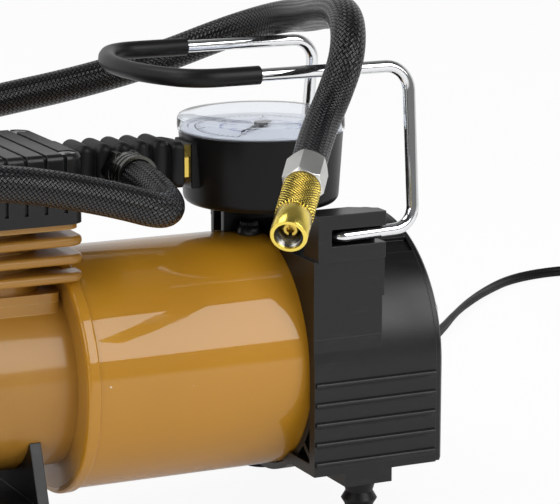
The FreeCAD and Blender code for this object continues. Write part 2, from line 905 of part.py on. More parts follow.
def movement_frame():
    """Two plates under the dial that hold the arbors, on posts that carry the dial."""
    low, top = movement_low, dial_z - 1.2
    left, right = gauge_x - 17, gauge_x + 5
    posts = []
    for x in (left + 1.2, right - 1.2):
        posts += [rod_z(1.0, low, dial_z - dial_thickness, x, side * 4.8) for side in (-1, 1)]
    plates = [
        box(left, right, -6, 6, low, low + movement_plate_thickness),
        box(left, right, -6, 6, top - 1.0, top),
    ]
    holes = [rod_z(arbor_radius + running_gap, low - 1, dial_z, gauge_x)]
    holes.append(rod_z(0.8 + running_gap, low - 1, dial_z, sector_pivot().x))
    return fused(plates + posts).cut(holes)


def bourdon_tube():
    """The C-shaped flattened tube that the pressure straightens."""
    z0 = bourdon_z
    outer = Part.makeCylinder(bourdon_radius, bourdon_width, V(gauge_x, 0, z0), V(0, 0, 1), bourdon_sweep)
    inner = rod_z(bourdon_radius - bourdon_thickness, z0 - 1, z0 + bourdon_width + 1, gauge_x)
    return turned(outer.cut(inner), gauge_axis, V(0, 0, 1), bourdon_start)


def gauge_socket():
    """The brass block inside the case that joins the pipe to the bourdon tube."""
    left, right = gauge_x - gauge_foot_radius, gauge_x - bourdon_radius + bourdon_thickness + 3.5
    block = box(left, right, -5.5, 5.5, gauge_bottom + 3.8, movement_low)
    inside = rod_z(gauge_foot_radius - gauge_wall - 0.3, gauge_bottom, dial_z, gauge_x)
    outer = rod_z(bourdon_radius + 0.1, bourdon_z - 0.1, bourdon_z + bourdon_width + 0.1, gauge_x)
    inner = rod_z(bourdon_radius - bourdon_thickness - 0.1, gauge_bottom, dial_z, gauge_x)
    spigot = rod_x(gauge_spigot_radius, boss_left + 0.1, gauge_x - 20, 0, pipe_z)
    bore = rod_x(pipe_bore, boss_left - 1, gauge_x - 18, 0, pipe_z)
    return spigot.fuse(block.common(inside).cut(outer.cut(inner))).cut(bore).removeSplitter()


def gauge_cradle():
    """The hollow block under the gauge, shaped over the shell and the arch, with a seat for the case."""
    low, half = axis_height + cradle_depth, cradle_half_width
    outer = box(cradle_left, cradle_right, -half, half, low, cradle_top)
    room_right, room_half = cradle_right - cradle_wall, half - cradle_wall
    hollow = box(cradle_left - 1, room_right, -room_half, room_half, low - 1, gauge_bottom - cradle_roof)
    body = outer.cut(hollow)
    frame_right = cradle_left + cradle_frame_length
    frame_bar = box(cradle_left, frame_right, -half, half, low, cradle_top)
    gap_half = half - cradle_frame_wall
    opening = box(cradle_left - 1, frame_right + 1, -gap_half, gap_half, low - 1, gauge_bottom - 1.8)
    middle = box(cradle_left, frame_right, -cradle_bar_out, -cradle_bar_in, low, cradle_top - 1)
    body = body.fuse([frame_bar.cut(opening), middle, mirrored_y(middle)])
    body = body.cut(rod_x(shell_radius + cradle_clearance, cradle_left - 5, housing_left))
    over_housing = tombstone(
        housing_half_width + cradle_clearance, housing_left - cradle_clearance, cradle_right + 5,
        housing_bottom, arch_z, housing_half_width + cradle_clearance,
    )
    body = body.cut(over_housing)
    seat = revolved(
        [
            (0, gauge_bottom), (gauge_foot_radius - 2.4 + 0.2, gauge_bottom),
            (gauge_foot_radius + 0.2, gauge_bottom + 2.6), (gauge_foot_radius + 0.6, cradle_top + 1),
            (0, cradle_top + 1),
        ],
        gauge_axis,
    )
    return body.cut(seat).removeSplitter()


def gauge_nut():
    """The toothed nut that draws the cradle down, at the housing's edge."""
    top = gauge_bottom - cradle_wall
    base = axis_height + shell_radius + 0.25
    body = rod_z(nut_radius, base, base + nut_height, nut_x, nut_y)
    teeth = []
    for k in range(nut_teeth):
        angle = 2 * math.pi * k / nut_teeth
        teeth.append(
            rod_z(
                0.7, base, min(base + nut_height + 0.8, top - 0.4), nut_x + nut_radius * math.cos(angle),
                nut_y + nut_radius * math.sin(angle),
            )
        )
    return fused([body] + teeth)


# Delivery pipe and its sleeve
def pipe_sleeve():
    """The ribbed rubber sleeve, with a plain end whose back corner is cut off."""
    left = sleeve_left
    core = box(
        left, sleeve_plain_left, -sleeve_half_depth + sleeve_groove_depth,
        sleeve_half_depth - sleeve_groove_depth, sleeve_bottom + sleeve_groove_depth,
        sleeve_top - sleeve_groove_depth,
    )
    ribs = []
    for k in range(sleeve_ribs):
        x1 = sleeve_plain_left - k * sleeve_pitch - sleeve_groove
        x0 = max(left, x1 - sleeve_pitch + sleeve_groove)
        rib = box(x0, x1, -sleeve_half_depth, sleeve_half_depth, sleeve_bottom, sleeve_top)
        long_edges = [e for e in rib.Edges if abs(e.tangentAt(e.FirstParameter).x) > 0.9]
        ribs.append(rib.makeFillet(1.6, long_edges))
    plain = box(
        sleeve_plain_left - 0.5, sleeve_plain_right, -sleeve_half_depth, sleeve_half_depth,
        sleeve_bottom + 0.6, sleeve_top - sleeve_plain_drop,
    )
    long_edges = [e for e in plain.Edges if abs(e.tangentAt(e.FirstParameter).x) > 0.9]
    plain = plain.makeFillet(1.4, long_edges)
    corner_left, corner_right = sleeve_plain_right - sleeve_corner_length, sleeve_plain_right + 1
    corner_front, corner_back = sleeve_half_depth - sleeve_corner_depth, sleeve_half_depth + 1
    low = sleeve_bottom - 1
    corner = face_of(
        [(corner_left, corner_back, low), (corner_right, corner_back, low), (corner_right, corner_front, low)]
    )
    plain = plain.cut(corner.extrude(V(0, 0, sleeve_top - sleeve_bottom + 2)))
    sleeve = fused([core, plain] + ribs)
    branch = rod_y(branch_radius, -sleeve_half_depth - 1, 0, fitting_x, fitting_z)
    return sleeve.cut([rod_x(pipe_radius, left - 1, sleeve_plain_right + 1, 0, pipe_z), branch])


def delivery_pipe():
    """The brass pipe from the head to the gauge, with the branch for the hose."""
    pipe = rod_x(pipe_radius, pipe_left, sleeve_plain_right, 0, pipe_z)
    branch = rod_y(branch_radius, -sleeve_half_depth, 0, fitting_x, fitting_z)
    bore = rod_x(pipe_bore, pipe_left - 1, sleeve_plain_right + 1, 0, pipe_z)
    return pipe.fuse(branch).cut([bore, rod_y(fitting_bore, -sleeve_half_depth - 1, 0, fitting_x, fitting_z)])


def gauge_union():
    """The brass hexagon between the sleeve and the gauge."""
    nut = hexagon(union_flats, boss_left - sleeve_plain_right, V(sleeve_plain_right, 0, pipe_z), V(1, 0, 0))
    return nut.cut(rod_x(pipe_bore, sleeve_plain_right - 1, boss_left + 1, 0, pipe_z))


# Pump
def pump_cylinder():
    """The finned cylinder casting. Its lower fins are cut away round the motor shell."""
    pieces = [rod_z(bore_radius + cylinder_wall, cylinder_bottom, head_bottom, pump_x)]
    for k in range(fin_count):
        z = top_fin_z - k * fin_pitch - fin_thickness / 2
        fin = rounded_plate(fin_half, fin_half, fin_corner, z, z + fin_thickness, pump_x)
        flat_edges = [e for e in fin.Edges if abs(e.tangentAt(e.FirstParameter).z) < 0.1]
        pieces.append(fin.makeFillet(fin_thickness * 0.42, flat_edges))
    flange_low = head_bottom - top_flange_thickness
    pieces.append(
        rounded_plate(top_flange_half, top_flange_half, fin_corner, flange_low, head_bottom, pump_x)
    )
    pieces.append(
        rounded_plate(crank_seat_half, crank_seat_half, 4.0, cylinder_bottom, cylinder_bottom + 3.0, pump_x)
    )
    casting = fused(pieces)
    room = rod_x(shell_radius + bead_rise + fin_room, shell_left - fin_room, pump_x + 2 * fin_half)
    casting = casting.cut([room, rod_z(bore_radius, cylinder_bottom - 1, head_bottom + 1, pump_x)])
    return casting.cut(head_bolt_bars(head_bolt_radius, flange_low - 1, head_bottom + 1)).removeSplitter()


def head_bolt_places():
    return [(pump_x + sx * head_bolt_offset, sy * head_bolt_offset) for sx in (-1, 1) for sy in (-1, 1)]


def head_bolt_bars(radius, z0, z1):
    """Four upright bars on the bolts' lines."""
    return [rod_z(radius, z0, z1, x, y) for x, y in head_bolt_places()]


def valve_plate():
    """The steel plate between cylinder and head, with its intake and delivery ports."""
    plate = rounded_plate(valve_plate_half, valve_plate_half, 4.0, head_bottom, head_low, pump_x)
    ports = [rod_z(1.5, head_bottom - 1, head_low + 1, pump_x, y) for y in (-6, 6)]
    return plate.cut(ports + head_bolt_bars(head_bolt_radius + 0.1, head_bottom - 1, head_low + 1))


def cylinder_head():
    """The head casting, with its pressure chamber and its outlet to the pipe."""
    block = rounded_plate(head_half, head_half, 4.0, head_low, head_low + head_plate, pump_x)
    dome = rod_z(12.0, head_low + head_plate - 1, head_top, pump_x)
    neck = rod_x(5.0, pump_x, pipe_left, 0, pipe_z)
    chamber = rounded_plate(12, 12, 3.0, head_low - 1, head_low + 5.0, pump_x)
    bores = [
        chamber, rod_z(3.0, head_low + 4, pipe_z, pump_x),
        rod_x(pipe_bore, pump_x, pipe_left + 1, 0, pipe_z),
    ]
    return fused([block, dome, neck]).cut(bores)


def head_bolts():
    """Four long bolts through the cover's posts into the cylinder's top flange."""
    bolts = []
    base = head_cover_top - head_bolt_head
    for x, y in head_bolt_places():
        shank = rod_z(head_bolt_radius, head_bottom - top_flange_thickness, base + 0.2, x, y)
        head = rod_z(head_post_radius - 0.6, base, base + head_bolt_head - 0.4, x, y)
        socket = hexagon(3.0, 2.0, V(x, y, base + 0.8), V(0, 0, 1))
        bolts.append(shank.fuse(head).cut(socket))
    return group(bolts)


def head_cover():
    """The black cover over the head, with upright grooves that carry on the sleeve's pattern."""
    outer = rounded_plate(fin_half, fin_half, fin_corner, head_bottom, head_cover_top, pump_x)
    top_edges = [e for e in outer.Edges if abs(e.CenterOfMass.z - head_cover_top) < 1e-6]
    outer = outer.makeFillet(2.2, top_edges)
    half = fin_half - head_cover_wall
    cover = outer.cut(rounded_plate(half, half, fin_corner - 2, head_bottom - 1, head_top, pump_x))
    posts = [post.common(outer) for post in head_bolt_bars(head_post_radius + 0.8, head_low, head_cover_top)]
    cover = cover.fuse(posts)
    cover = cover.cut(head_bolt_bars(head_bolt_radius + 0.1, head_bottom - 1, head_cover_top + 1))
    base = head_cover_top - head_bolt_head
    cover = cover.cut(head_bolt_bars(head_post_radius - 0.4, base, head_cover_top + 1))
    count = int(2 * (fin_half - fin_corner) / sleeve_pitch)
    for k in range(count):
        x = pump_x + fin_half - fin_corner - 2.0 - k * sleeve_pitch
        deep, front = sleeve_groove, fin_half - sleeve_groove
        over = box(
            x, x + sleeve_groove, -fin_half - 1, fin_half + 1, head_cover_top - deep, head_cover_top + 1
        )
        sides = [box(x, x + sleeve_groove, -fin_half - 1, -front, head_bottom + 4, head_cover_top + 1)]
        sides.append(mirrored_y(sides[0]))
        cover = cover.cut([over] + sides)
    return cover.cut(rod_x(5.3, pump_x + 10, sleeve_left + 2, 0, pipe_z))


def crankcase():
    """The round casting left of the motor, with the seat for the cylinder."""
    outer = rod_x(crankcase_radius, crankcase_left, shell_left)
    seat = rounded_plate(crank_seat_half, crank_seat_half, 4.0, axis_height + 20, cylinder_bottom, pump_x)
    body = outer.fuse(seat)
    cavity = rod_x(crankcase_radius - crankcase_wall, crankcase_left - 1, shell_left - crankcase_wall)
    flat = crank_seat_half + 0.2
    above = box(
        pump_x - flat, shell_left + 1, -flat, flat, cylinder_bottom, axis_height + 2 * crankcase_radius
    )
    body = body.cut([cavity, above, rod_z(bore_radius + 0.2, axis_height + 10, cylinder_bottom + 1, pump_x)])
    body = body.cut(rod_x(bearing_radius + 1.0, shell_left - crankcase_wall - 1, shell_left + 1))
    for angle in crank_screw_angles():
        y, z = crank_screw_circle * math.cos(angle), axis_height + crank_screw_circle * math.sin(angle)
        lug = rod_x(4.0, crankcase_left, crankcase_left + 10, y, z)
        body = body.fuse(lug.common(outer)).cut(rod_x(1.6, crankcase_left - 1, crankcase_left + 9, y, z))
    return body.removeSplitter()


def crank_screw_angles():
    return [math.radians(45 + 90 * k) for k in range(4)]


def crankcase_cover():
    """The round cover of the crankcase, with the ring of holes that the pump breathes through."""
    plate = rod_x(crankcase_radius, crankcase_left - crank_cover_thickness, crankcase_left)
    edge = [e for e in plate.Edges if abs(e.CenterOfMass.x - crankcase_left + crank_cover_thickness) < 1e-6]
    plate = plate.makeFillet(1.2, edge)
    holes = []
    for k in range(8):
        angle = 2 * math.pi * k / 8
        y, z = 12 * math.cos(angle), axis_height + 12 * math.sin(angle)
        holes.append(rod_x(1.8, crankcase_left - 10, crankcase_left + 1, y, z))
    for angle in crank_screw_angles():
        y, z = crank_screw_circle * math.cos(angle), axis_height + crank_screw_circle * math.sin(angle)
        holes.append(rod_x(1.7, crankcase_left - 10, crankcase_left + 1, y, z))
    return plate.cut(holes)


def crankcase_screws():
    screws = []
    left = crankcase_left - crank_cover_thickness
    for angle in crank_screw_angles():
        y, z = crank_screw_circle * math.cos(angle), axis_height + crank_screw_circle * math.sin(angle)
        head = rod_x(crank_screw_radius, left - crank_screw_head, left, y, z)
        socket = Part.Face(
            Part.makePolygon(
                [
                    V(
                        left - crank_screw_head, y + 1.3 * math.cos(math.pi * k / 3),
                        z + 1.3 * math.sin(math.pi * k / 3),
                    ) for k in range(7)
                ]
            )
        ).extrude(V(1.2, 0, 0))
        screws.append(head.cut(socket).fuse(rod_x(1.6, left, crankcase_left + 7, y, z)))
    return screws


# Motor
def front_plate():
    """The casting that closes the shell at the pump end and holds the front bearing."""
    x0 = shell_left
    plate = rod_x(shell_radius - shell_wall - 0.1, x0, x0 + front_plate_thickness)
    boss = rod_x(bearing_radius + 3.0, x0, x0 + bearing_width + 2.0)
    seat = rod_x(bearing_radius, x0 - 1, x0 + bearing_width)
    through = rod_x(shaft_radius + 1.5, x0 - 1, x0 + 20)
    return fused([plate, boss]).cut([seat, through])


def bearing(x0):
    """A ball bearing drawn as its two races and the shielded gap between them."""
    outer = ring_x(bearing_radius, bearing_radius - 2.2, x0, x0 + bearing_width)
    shield = ring_x(bearing_radius - 2.0, shaft_radius + 2.2, x0 + 0.6, x0 + bearing_width - 0.6)
    inner = ring_x(shaft_radius + 2.4, shaft_radius + running_gap, x0, x0 + bearing_width)
    return fused([outer, shield, inner])


def motor_can():
    can = ring_x(can_radius, can_radius - can_wall, can_left, can_right)
    vents = [
        turned(
            box(can_right - 12, can_right - 4, -4, 4, axis_height + 20, axis_height + 60),
            V(0, 0, axis_height), V(1, 0, 0), 90 * k + 45,
        ) for k in range(4)
    ]
    return can.cut(vents)


def field_magnets():
    """Two ferrite arcs bonded inside the can."""
    arcs = []
    outer = can_radius - can_wall
    for side in (0, 180):
        sector = Part.makeCylinder(
            outer, magnet_right - magnet_left, V(magnet_left, 0, axis_height), V(1, 0, 0), magnet_angle
        )
        sector = turned(sector, V(0, 0, axis_height), V(1, 0, 0), side - magnet_angle / 2)
        arcs.append(sector.cut(rod_x(outer - magnet_thickness, magnet_left - 1, magnet_right + 1)))
    return group(arcs)


def rear_plate():
    """The plate that closes the can at the fan end, with the rear bearing's seat."""
    x0 = can_right
    plate = rod_x(can_radius, x0, x0 + rear_plate_thickness)
    boss = rod_x(bearing_radius + 3.0, x0 - 3.0, x0 + rear_plate_thickness)
    seat = rod_x(bearing_radius, x0 - 4.0, x0 - 3.0 + bearing_width)
    windows = []
    for k in range(6):
        windows.append(
            turned(
                box(x0 - 1, x0 + 10, -6, 6, axis_height + 18, axis_height + 30), V(0, 0, axis_height),
                V(1, 0, 0), 60 * k,
            )
        )
    through = rod_x(shaft_radius + 1.5, x0 - 5, x0 + 10)
    return fused([plate, boss]).cut([seat, through] + windows)


def brush_plate():
    """The insulating ring with its two brush boxes."""
    x0 = (commutator_left + commutator_right) / 2 - brush_plate_thickness / 2
    ring = ring_x(can_radius - can_wall, commutator_radius + 3.0, x0, x0 + brush_plate_thickness)
    boxes = []
    for side in (-1, 1):
        outer = box(
            x0 - 3, x0 + brush_plate_thickness + 3, -brush_width / 2 - 1.5, brush_width / 2 + 1.5,
            axis_height + commutator_radius + 3.5, axis_height + 31,
        )
        inner = box(
            x0 - 1.5, x0 + brush_plate_thickness + 1.5, -brush_width / 2, brush_width / 2, axis_height,
            axis_height + 30,
        )
        cut = outer.cut(inner)
        ring = ring.cut(turned(inner, V(0, 0, axis_height), V(1, 0, 0), 90 * side))
        boxes.append(turned(cut, V(0, 0, axis_height), V(1, 0, 0), 90 * side))
    return fused([ring] + boxes)


def carbon_brushes():
    x0 = (commutator_left + commutator_right) / 2 - brush_plate_thickness / 2
    brushes = []
    for side in (-1, 1):
        bar = box(
            x0 - 1.4, x0 + brush_plate_thickness + 1.4, -brush_width / 2 + 0.1, brush_width / 2 - 0.1,
            axis_height + commutator_radius + 0.35, axis_height + commutator_radius + 0.35 + brush_height,
        )
        brushes.append(turned(bar, V(0, 0, axis_height), V(1, 0, 0), 90 * side))
    return group(brushes)


def motor_shaft():
    return rod_x(shaft_radius, crank_disc_right - crank_disc_thickness + 1.0, shaft_right)


def armature_core():
    """The slotted stack of laminations."""
    core = ring_x(rotor_radius, shaft_radius, rotor_left, rotor_right)
    slots = []
    for k in range(slot_count):
        slot = box(
            rotor_left - 1, rotor_right + 1, -slot_width / 2, slot_width / 2,
            axis_height + rotor_radius - slot_depth, axis_height + rotor_radius + 1,
        )
        slots.append(turned(slot, V(0, 0, axis_height), V(1, 0, 0), 360.0 / slot_count * k))
    return core.cut(slots)


def armature_windings():
    """The end turns at both sides, joined by the wire in the slots."""
    inner = shaft_radius + 2.0
    ends = [
        ring_x(winding_radius, inner, rotor_left - winding_length, rotor_left),
        ring_x(winding_radius, inner, rotor_right, rotor_right + winding_length),
    ]
    rounded = []
    for end in ends:
        rims = [
            e for e in end.Edges if isinstance(e.Curve, Part.Circle) and abs(
                e.Curve.Radius - winding_radius
            ) < 1e-6
        ]
        rounded.append(end.makeFillet(2.5, rims))
    wires = []
    for k in range(slot_count):
        wire = box(
            rotor_left - 3, rotor_right + 3, -slot_width / 2 + 0.1, slot_width / 2 - 0.1,
            axis_height + rotor_radius - slot_depth + 0.1, axis_height + winding_radius - 1.5,
        )
        wires.append(turned(wire, V(0, 0, axis_height), V(1, 0, 0), 360.0 / slot_count * k))
    return fused(rounded + wires)


def commutator():
    body = ring_x(commutator_radius, shaft_radius, commutator_left, commutator_right)
    cuts = []
    for k in range(commutator_bars):
        cut = box(
            commutator_left - 1, commutator_right + 1, -0.3, 0.3, axis_height + commutator_radius - 1.2,
            axis_height + commutator_radius + 1,
        )
        cuts.append(turned(cut, V(0, 0, axis_height), V(1, 0, 0), 360.0 / commutator_bars * k))
    return body.cut(cuts)


def cooling_fan():
    """The fan behind the end cover: a back disc, a hub and straight blades."""
    hub = rod_x(fan_hub_radius, fan_left, fan_left + fan_width)
    disc = rod_x(fan_radius, fan_left, fan_left + 1.8)
    blades = []
    for k in range(fan_blades):
        blade = box(
            fan_left + 0.5, fan_left + fan_width, -fan_blade_thickness / 2, fan_blade_thickness / 2,
            axis_height + fan_hub_radius - 1, axis_height + fan_radius,
        )
        blades.append(turned(blade, V(0, 0, axis_height), V(1, 0, 0), 360.0 / fan_blades * k))
    return fused([hub, disc] + blades).cut(rod_x(shaft_radius, fan_left - 1, fan_left + fan_width + 1))


def crank_disc():
    """The crank with its counterweight and its pin, which ends short of the rod: that pivot stays open."""
    left = crank_disc_right - crank_disc_thickness
    disc = rod_x(crank_disc_radius, left, crank_disc_right)
    waist = [
        box(
            left - 1, crank_disc_right + 1, side * 13 - 6, side * 13 + 6, axis_height + 4,
            axis_height + 20,
        ) for side in (-1, 1)
    ]
    pin = rod_x(crank_pin_radius, crank_pin_end, left + 0.5, 0, axis_height + crank_throw)
    return fused([disc.cut(waist), pin]).cut(rod_x(shaft_radius, left + 1.0, crank_disc_right + 1))


def connecting_rod():
    """The rod, with its big end over the crank pin's path and its web up to the piston."""
    x1 = crank_pin_end - pivot_gap
    x0 = x1 - rod_thickness
    centre_z = axis_height + crank_throw
    eye = ring_x(big_end_radius, big_end_bore, x0, x1, 0, centre_z)
    top = piston_crown_z - piston_height
    web = box(x0 + 1.0, x1 - 1.0, -3.5, 3.5, centre_z + big_end_bore + 0.5, top)
    flange = rod_z(9.0, top - 1.2, top + 0.2, pump_x)
    return fused([eye, web, flange])


def piston():
    """The piston, with the groove that its cup seal sits in."""
    top = piston_crown_z
    body = rod_z(piston_radius, top - piston_height + 0.2, top, pump_x)
    groove = rod_z(piston_radius + 1, top - 4.4, top - 2.0, pump_x).cut(
        rod_z(piston_radius - 2.0, top - 5, top, pump_x)
    )
    return body.cut(groove)


# Feet
def foot(x, y):
    """A ribbed rubber foot with a peg that presses into its bracket."""
    outline = [
        (0, foot_height + foot_peg_length), (foot_peg_radius, foot_height + foot_peg_length),
        (foot_peg_radius, foot_height),
    ]
    outline += list(foot_profile)
    outline += [
        (foot_hollow_radius, 0.0), (foot_hollow_radius - 1.2, foot_hollow_depth), (0, foot_hollow_depth)
    ]
    return revolved(outline, V(x, y, 0))


def pump_bracket():
    """The saddle under the crankcase that holds the two left feet."""
    x0, x1 = left_foot_x - bracket_half_length, left_foot_x + bracket_half_length
    plate = box(x0, x1, -bracket_half_width, bracket_half_width, foot_height, foot_height + bracket_thickness)
    uprights = []
    for x in (x0, x1 - bracket_thickness):
        corners = [
            (x, -bracket_half_width, foot_height), (x, bracket_half_width, foot_height),
            (x, 26, axis_height - 12), (x, -26, axis_height - 12),
        ]
        uprights.append(face_of(corners).extrude(V(bracket_thickness, 0, 0)))
    body = fused([plate] + uprights).cut(rod_x(crankcase_radius + 0.15, x0 - 1, x1 + 1))
    pegs = [
        rod_z(
            foot_peg_radius, foot_height - 1, foot_height + foot_peg_length, left_foot_x, y
        ) for y in (-left_foot_y, left_foot_y)
    ]
    return body.cut(pegs)


# Switch
def switch_body():
    """The switch's frame and the body behind it."""
    x0 = cover_right
    frame = box(
        x0, x0 + switch_bezel, switch_y - switch_half_width, switch_y + switch_half_width,
        switch_z - switch_half_height, switch_z + switch_half_height,
    )
    edges = [e for e in frame.Edges if abs(e.CenterOfMass.x - x0 - switch_bezel) < 1e-6]
    frame = frame.makeChamfer(0.5, edges)
    back = box(
        x0 - switch_depth, x0 + 0.1, switch_y - switch_half_width + 1.3,
        switch_y + switch_half_width - 1.3, switch_z - switch_half_height + 1.3,
        switch_z + switch_half_height - 1.3,
    )
    well = box(
        x0 - switch_depth + 5.0, x0 + 2, switch_y - rocker_half_width - 0.35,
        switch_y + rocker_half_width + 0.35, switch_z - rocker_half_height - 0.8,
        switch_z + rocker_half_height + 0.8,
    )
    tabs = [
        box(
            x0 - switch_depth - 6, x0 - switch_depth + 0.5, switch_y - 0.4, switch_y + 0.4,
            switch_z + dz - 2.2, switch_z + dz + 2.2,
        ) for dz in (-5, 5)
    ]
    pin_hole = rod_y(
        rocker_pin_radius + running_gap, switch_y - switch_half_width + 0.8,
        switch_y + switch_half_width - 0.8, x0 - 1.5, switch_z,
    )
    return fused([frame, back] + tabs).cut([well, pin_hole])


def switch_rocker():
    """The rocker at its off position, with its shallow V face and its pivot pin."""
    x0 = cover_right
    y0, y1 = switch_y - rocker_half_width, switch_y + rocker_half_width
    outline = [
        (x0 - 2.0, y0, switch_z - rocker_half_height), (x0 + 1.5, y0, switch_z - rocker_half_height),
        (x0 + 0.6, y0, switch_z), (x0 + 1.5, y0, switch_z + rocker_half_height),
        (x0 - 2.0, y0, switch_z + rocker_half_height), (x0 - 4.5, y0, switch_z),
    ]
    body = face_of(outline).extrude(V(0, y1 - y0, 0))
    pin = rod_y(rocker_pin_radius, y0 - 0.9, y1 + 0.9, x0 - 1.5, switch_z)
    return turned(fused([body, pin]), V(x0 - 1.5, 0, switch_z), V(0, 1, 0), rocker_tilt)


# Supply cord
def cord_gland():
    """The tapered strain relief in the end cover, with its collar."""
    x0 = cover_right
    cone = Part.makeCone(
        gland_base_radius, gland_tip_radius, gland_length, V(x0, gland_y, gland_z), V(1, 0, 0)
    )
    flange = rod_x(gland_base_radius + 1.2, x0, x0 + 1.6, gland_y, gland_z)
    neck = rod_x(gland_tip_radius, housing_right - 3, x0 + 0.5, gland_y, gland_z)
    bore = rod_x(cord_radius + gland_clearance, housing_right - 4, x0 + gland_length + 1, gland_y, gland_z)
    rings = []
    for k in range(gland_rings):
        x = x0 + 4.0 + k * 3.4
        rings.append(
            ring_x(gland_base_radius + 1, gland_base_radius - 0.9 - 0.2 * k, x, x + 1.4, gland_y, gland_z)
        )
    return fused([cone, flange, neck]).cut(rings + [bore])


def cord_start():
    return V(cover_right + gland_cord_start, gland_y, gland_z)


def coil_stations():
    """Radius and height of the cord at each half turn.

    Each layer winds in or out. Between layers the cord steps clear of the turns, rises and steps back.
    """
    stations = []
    for layer in range(coil_layers):
        inward = layer % 2 == 0
        half_turns = 2 * coil_turns_per_layer + (1 if layer == 0 else 0)
        radii = [coil_inner_turn + coil_step / 2 * k for k in range(half_turns + 1)]
        if inward:
            radii.reverse()
        z = coil_base + layer * coil_step
        stations += [(radius, z) for radius in radii]
        if layer < coil_layers - 1:
            clear = radii[-1] + (-coil_step if inward else coil_step)
            stations += [(clear, z), (clear, z + coil_step)]
    return stations


def coil_edges():
    """The coil's line, clockwise from above, as half turns, ending at the side it began at."""
    edges = []
    spots = []
    for k, (radius, z) in enumerate(coil_stations()):
        side = 1 if k % 2 == 0 else -1
        spots.append((V(coil_x + side * radius, coil_y, z), V(0, -side, 0)))
    for (start, start_way), (end, end_way) in zip(spots, spots[1:]):
        edges += biarc(start, start_way, end, end_way)
    return edges, spots[0][0], spots[-1][0]


def cord_edges():
    """The cord from its strain relief to the coil, whose first turn it meets head on."""
    start = cord_start()
    _, meet, _ = coil_edges()
    last = V(meet.x, meet.y + cord_last_run, cord_radius)
    points = [tuple(start)] + list(cord_route) + [tuple(last), tuple(meet)]
    return route_edges(points)


def plug_rear():
    """The plug's rear end, straight ahead of the coil's last turn."""
    _, _, leave = coil_edges()
    return V(leave.x, plug_rear_y, plug_grip_radius)


def lead_edges():
    """The coil and the short lead from its last turn down to the plug."""
    edges, _, leave = coil_edges()
    rear = plug_rear()
    high = (leave.x, leave.y - lead_first_run, leave.z)
    low = (rear.x, rear.y + lead_last_run, rear.z)
    return edges + route_edges([tuple(leave), high, low, tuple(rear)])


def coil_tie():
    """The flat strap round the bundle of turns, on the side away from the lead."""
    stations = coil_stations()
    near, far = min(r for r, _ in stations), max(r for r, _ in stations)
    bottom, top = stations[0][1], stations[-1][1]
    reach = cord_radius + tie_gap
    x0, x1 = coil_x - far - reach, coil_x - near + reach
    inner = box(x0, x1, coil_y - tie_width, coil_y + tie_width, bottom - reach, top + reach)
    half = tie_width / 2
    thick = tie_thickness
    outer = box(
        x0 - thick, x1 + thick, coil_y - half, coil_y + half, bottom - reach - thick, top + reach + thick
    )
    return outer.cut(inner)


def plug_profile():
    """Radius and distance from the rear of the plug's body."""
    grip = plug_relief_length + plug_grip_length
    barrel = grip + plug_barrel_length
    end = barrel + plug_nose_length
    bore = plug_tip_radius + pivot_clearance
    relief = plug_relief_radius
    outline = [
        (0, 0), (relief, 0), (relief + 1.4, plug_relief_length),
        (plug_grip_radius - 3, plug_relief_length),
    ]
    outline += [
        (plug_grip_radius, plug_relief_length + 4), (plug_grip_radius, grip - 2),
        (plug_barrel_radius, grip),
    ]
    outline += [(plug_barrel_radius, barrel), (plug_nose_radius, barrel + 1.5), (plug_nose_radius, end - 1)]
    outline += [(plug_nose_radius - 1, end), (bore, end), (bore, end - 7), (0, end - 7)]
    return outline, end


def along_plug(shape):
    """Turn a shape built along +Z from the origin to run from the plug's rear to its nose."""
    return placed(shape, plug_rear(), V(0, -1, 0))


def plug_body():
    """The moulded 12 V plug, with grip ribs, a bore for its sprung tip and slots for its side contacts."""
    outline, _ = plug_profile()
    body = revolved([(r, z) for r, z in outline])
    pitch = (plug_grip_length - 12) / plug_grip_ribs
    grooves = []
    for k in range(plug_grip_ribs):
        z = plug_relief_length + 6 + k * pitch
        ring = Part.makeCylinder(plug_grip_radius + 1, 1.6, V(0, 0, z))
        grooves.append(ring.cut(Part.makeCylinder(plug_grip_radius - 0.8, 1.6, V(0, 0, z))))
    start = plug_relief_length + plug_grip_length + 3
    half = plug_contact_width / 2 + 0.3
    slots = [box(-half, half, plug_barrel_radius - 2.5, 20, start, start + plug_barrel_length - 6)]
    slots.append(mirrored_y(slots[0]))
    return along_plug(body.cut(grooves + slots))


def plug_contacts():
    """The two sprung side strips of the plug, bowed outward."""
    start = plug_relief_length + plug_grip_length + 3
    length = plug_barrel_length - 6
    low, peak = plug_barrel_radius - 2.5, plug_barrel_radius + plug_contact_rise
    half = plug_contact_width / 2
    strips = []
    for side in (1, -1):
        edges = [
            Part.Arc(
                V(-half, low, start), V(-half, peak, start + length / 2), V(-half, low, start + length)
            ).toShape(),
            Part.LineSegment(V(-half, low, start + length), V(-half, low, start)).toShape(),
        ]
        strip = Part.Face(Part.Wire(edges)).extrude(V(plug_contact_width, 0, 0))
        strips.append(strip if side == 1 else mirrored_y(strip))
    return group([along_plug(strip) for strip in strips])


def plug_tip():
    """The sprung centre contact in the plug's nose."""
    _, end = plug_profile()
    bar = Part.makeCylinder(
        plug_tip_radius, plug_tip_reach + 7 - plug_tip_travel - 0.4,
        V(0, 0, end - 7 + plug_tip_travel + 0.4),
    )
    rim = [e for e in bar.Edges if abs(e.CenterOfMass.z - end - plug_tip_reach) < 1e-6]
    return along_plug(bar.makeFillet(1.4, rim))


# Hose and its ends
def hose_edges():
    """The hose's line from its fitting to the chuck's nut."""
    front = -sleeve_half_depth - fitting_hex_length - 1.0
    first = (fitting_x, front - hose_first_run, fitting_z)
    last = chuck_root - chuck_direction * hose_last_run
    points = [(fitting_x, front, fitting_z), first]
    points += [(x, y, pipe_z + rise) for x, y, rise in hose_route]
    points += [tuple(last), tuple(chuck_root)]
    return route_edges(points, {2: hose_first_bend})


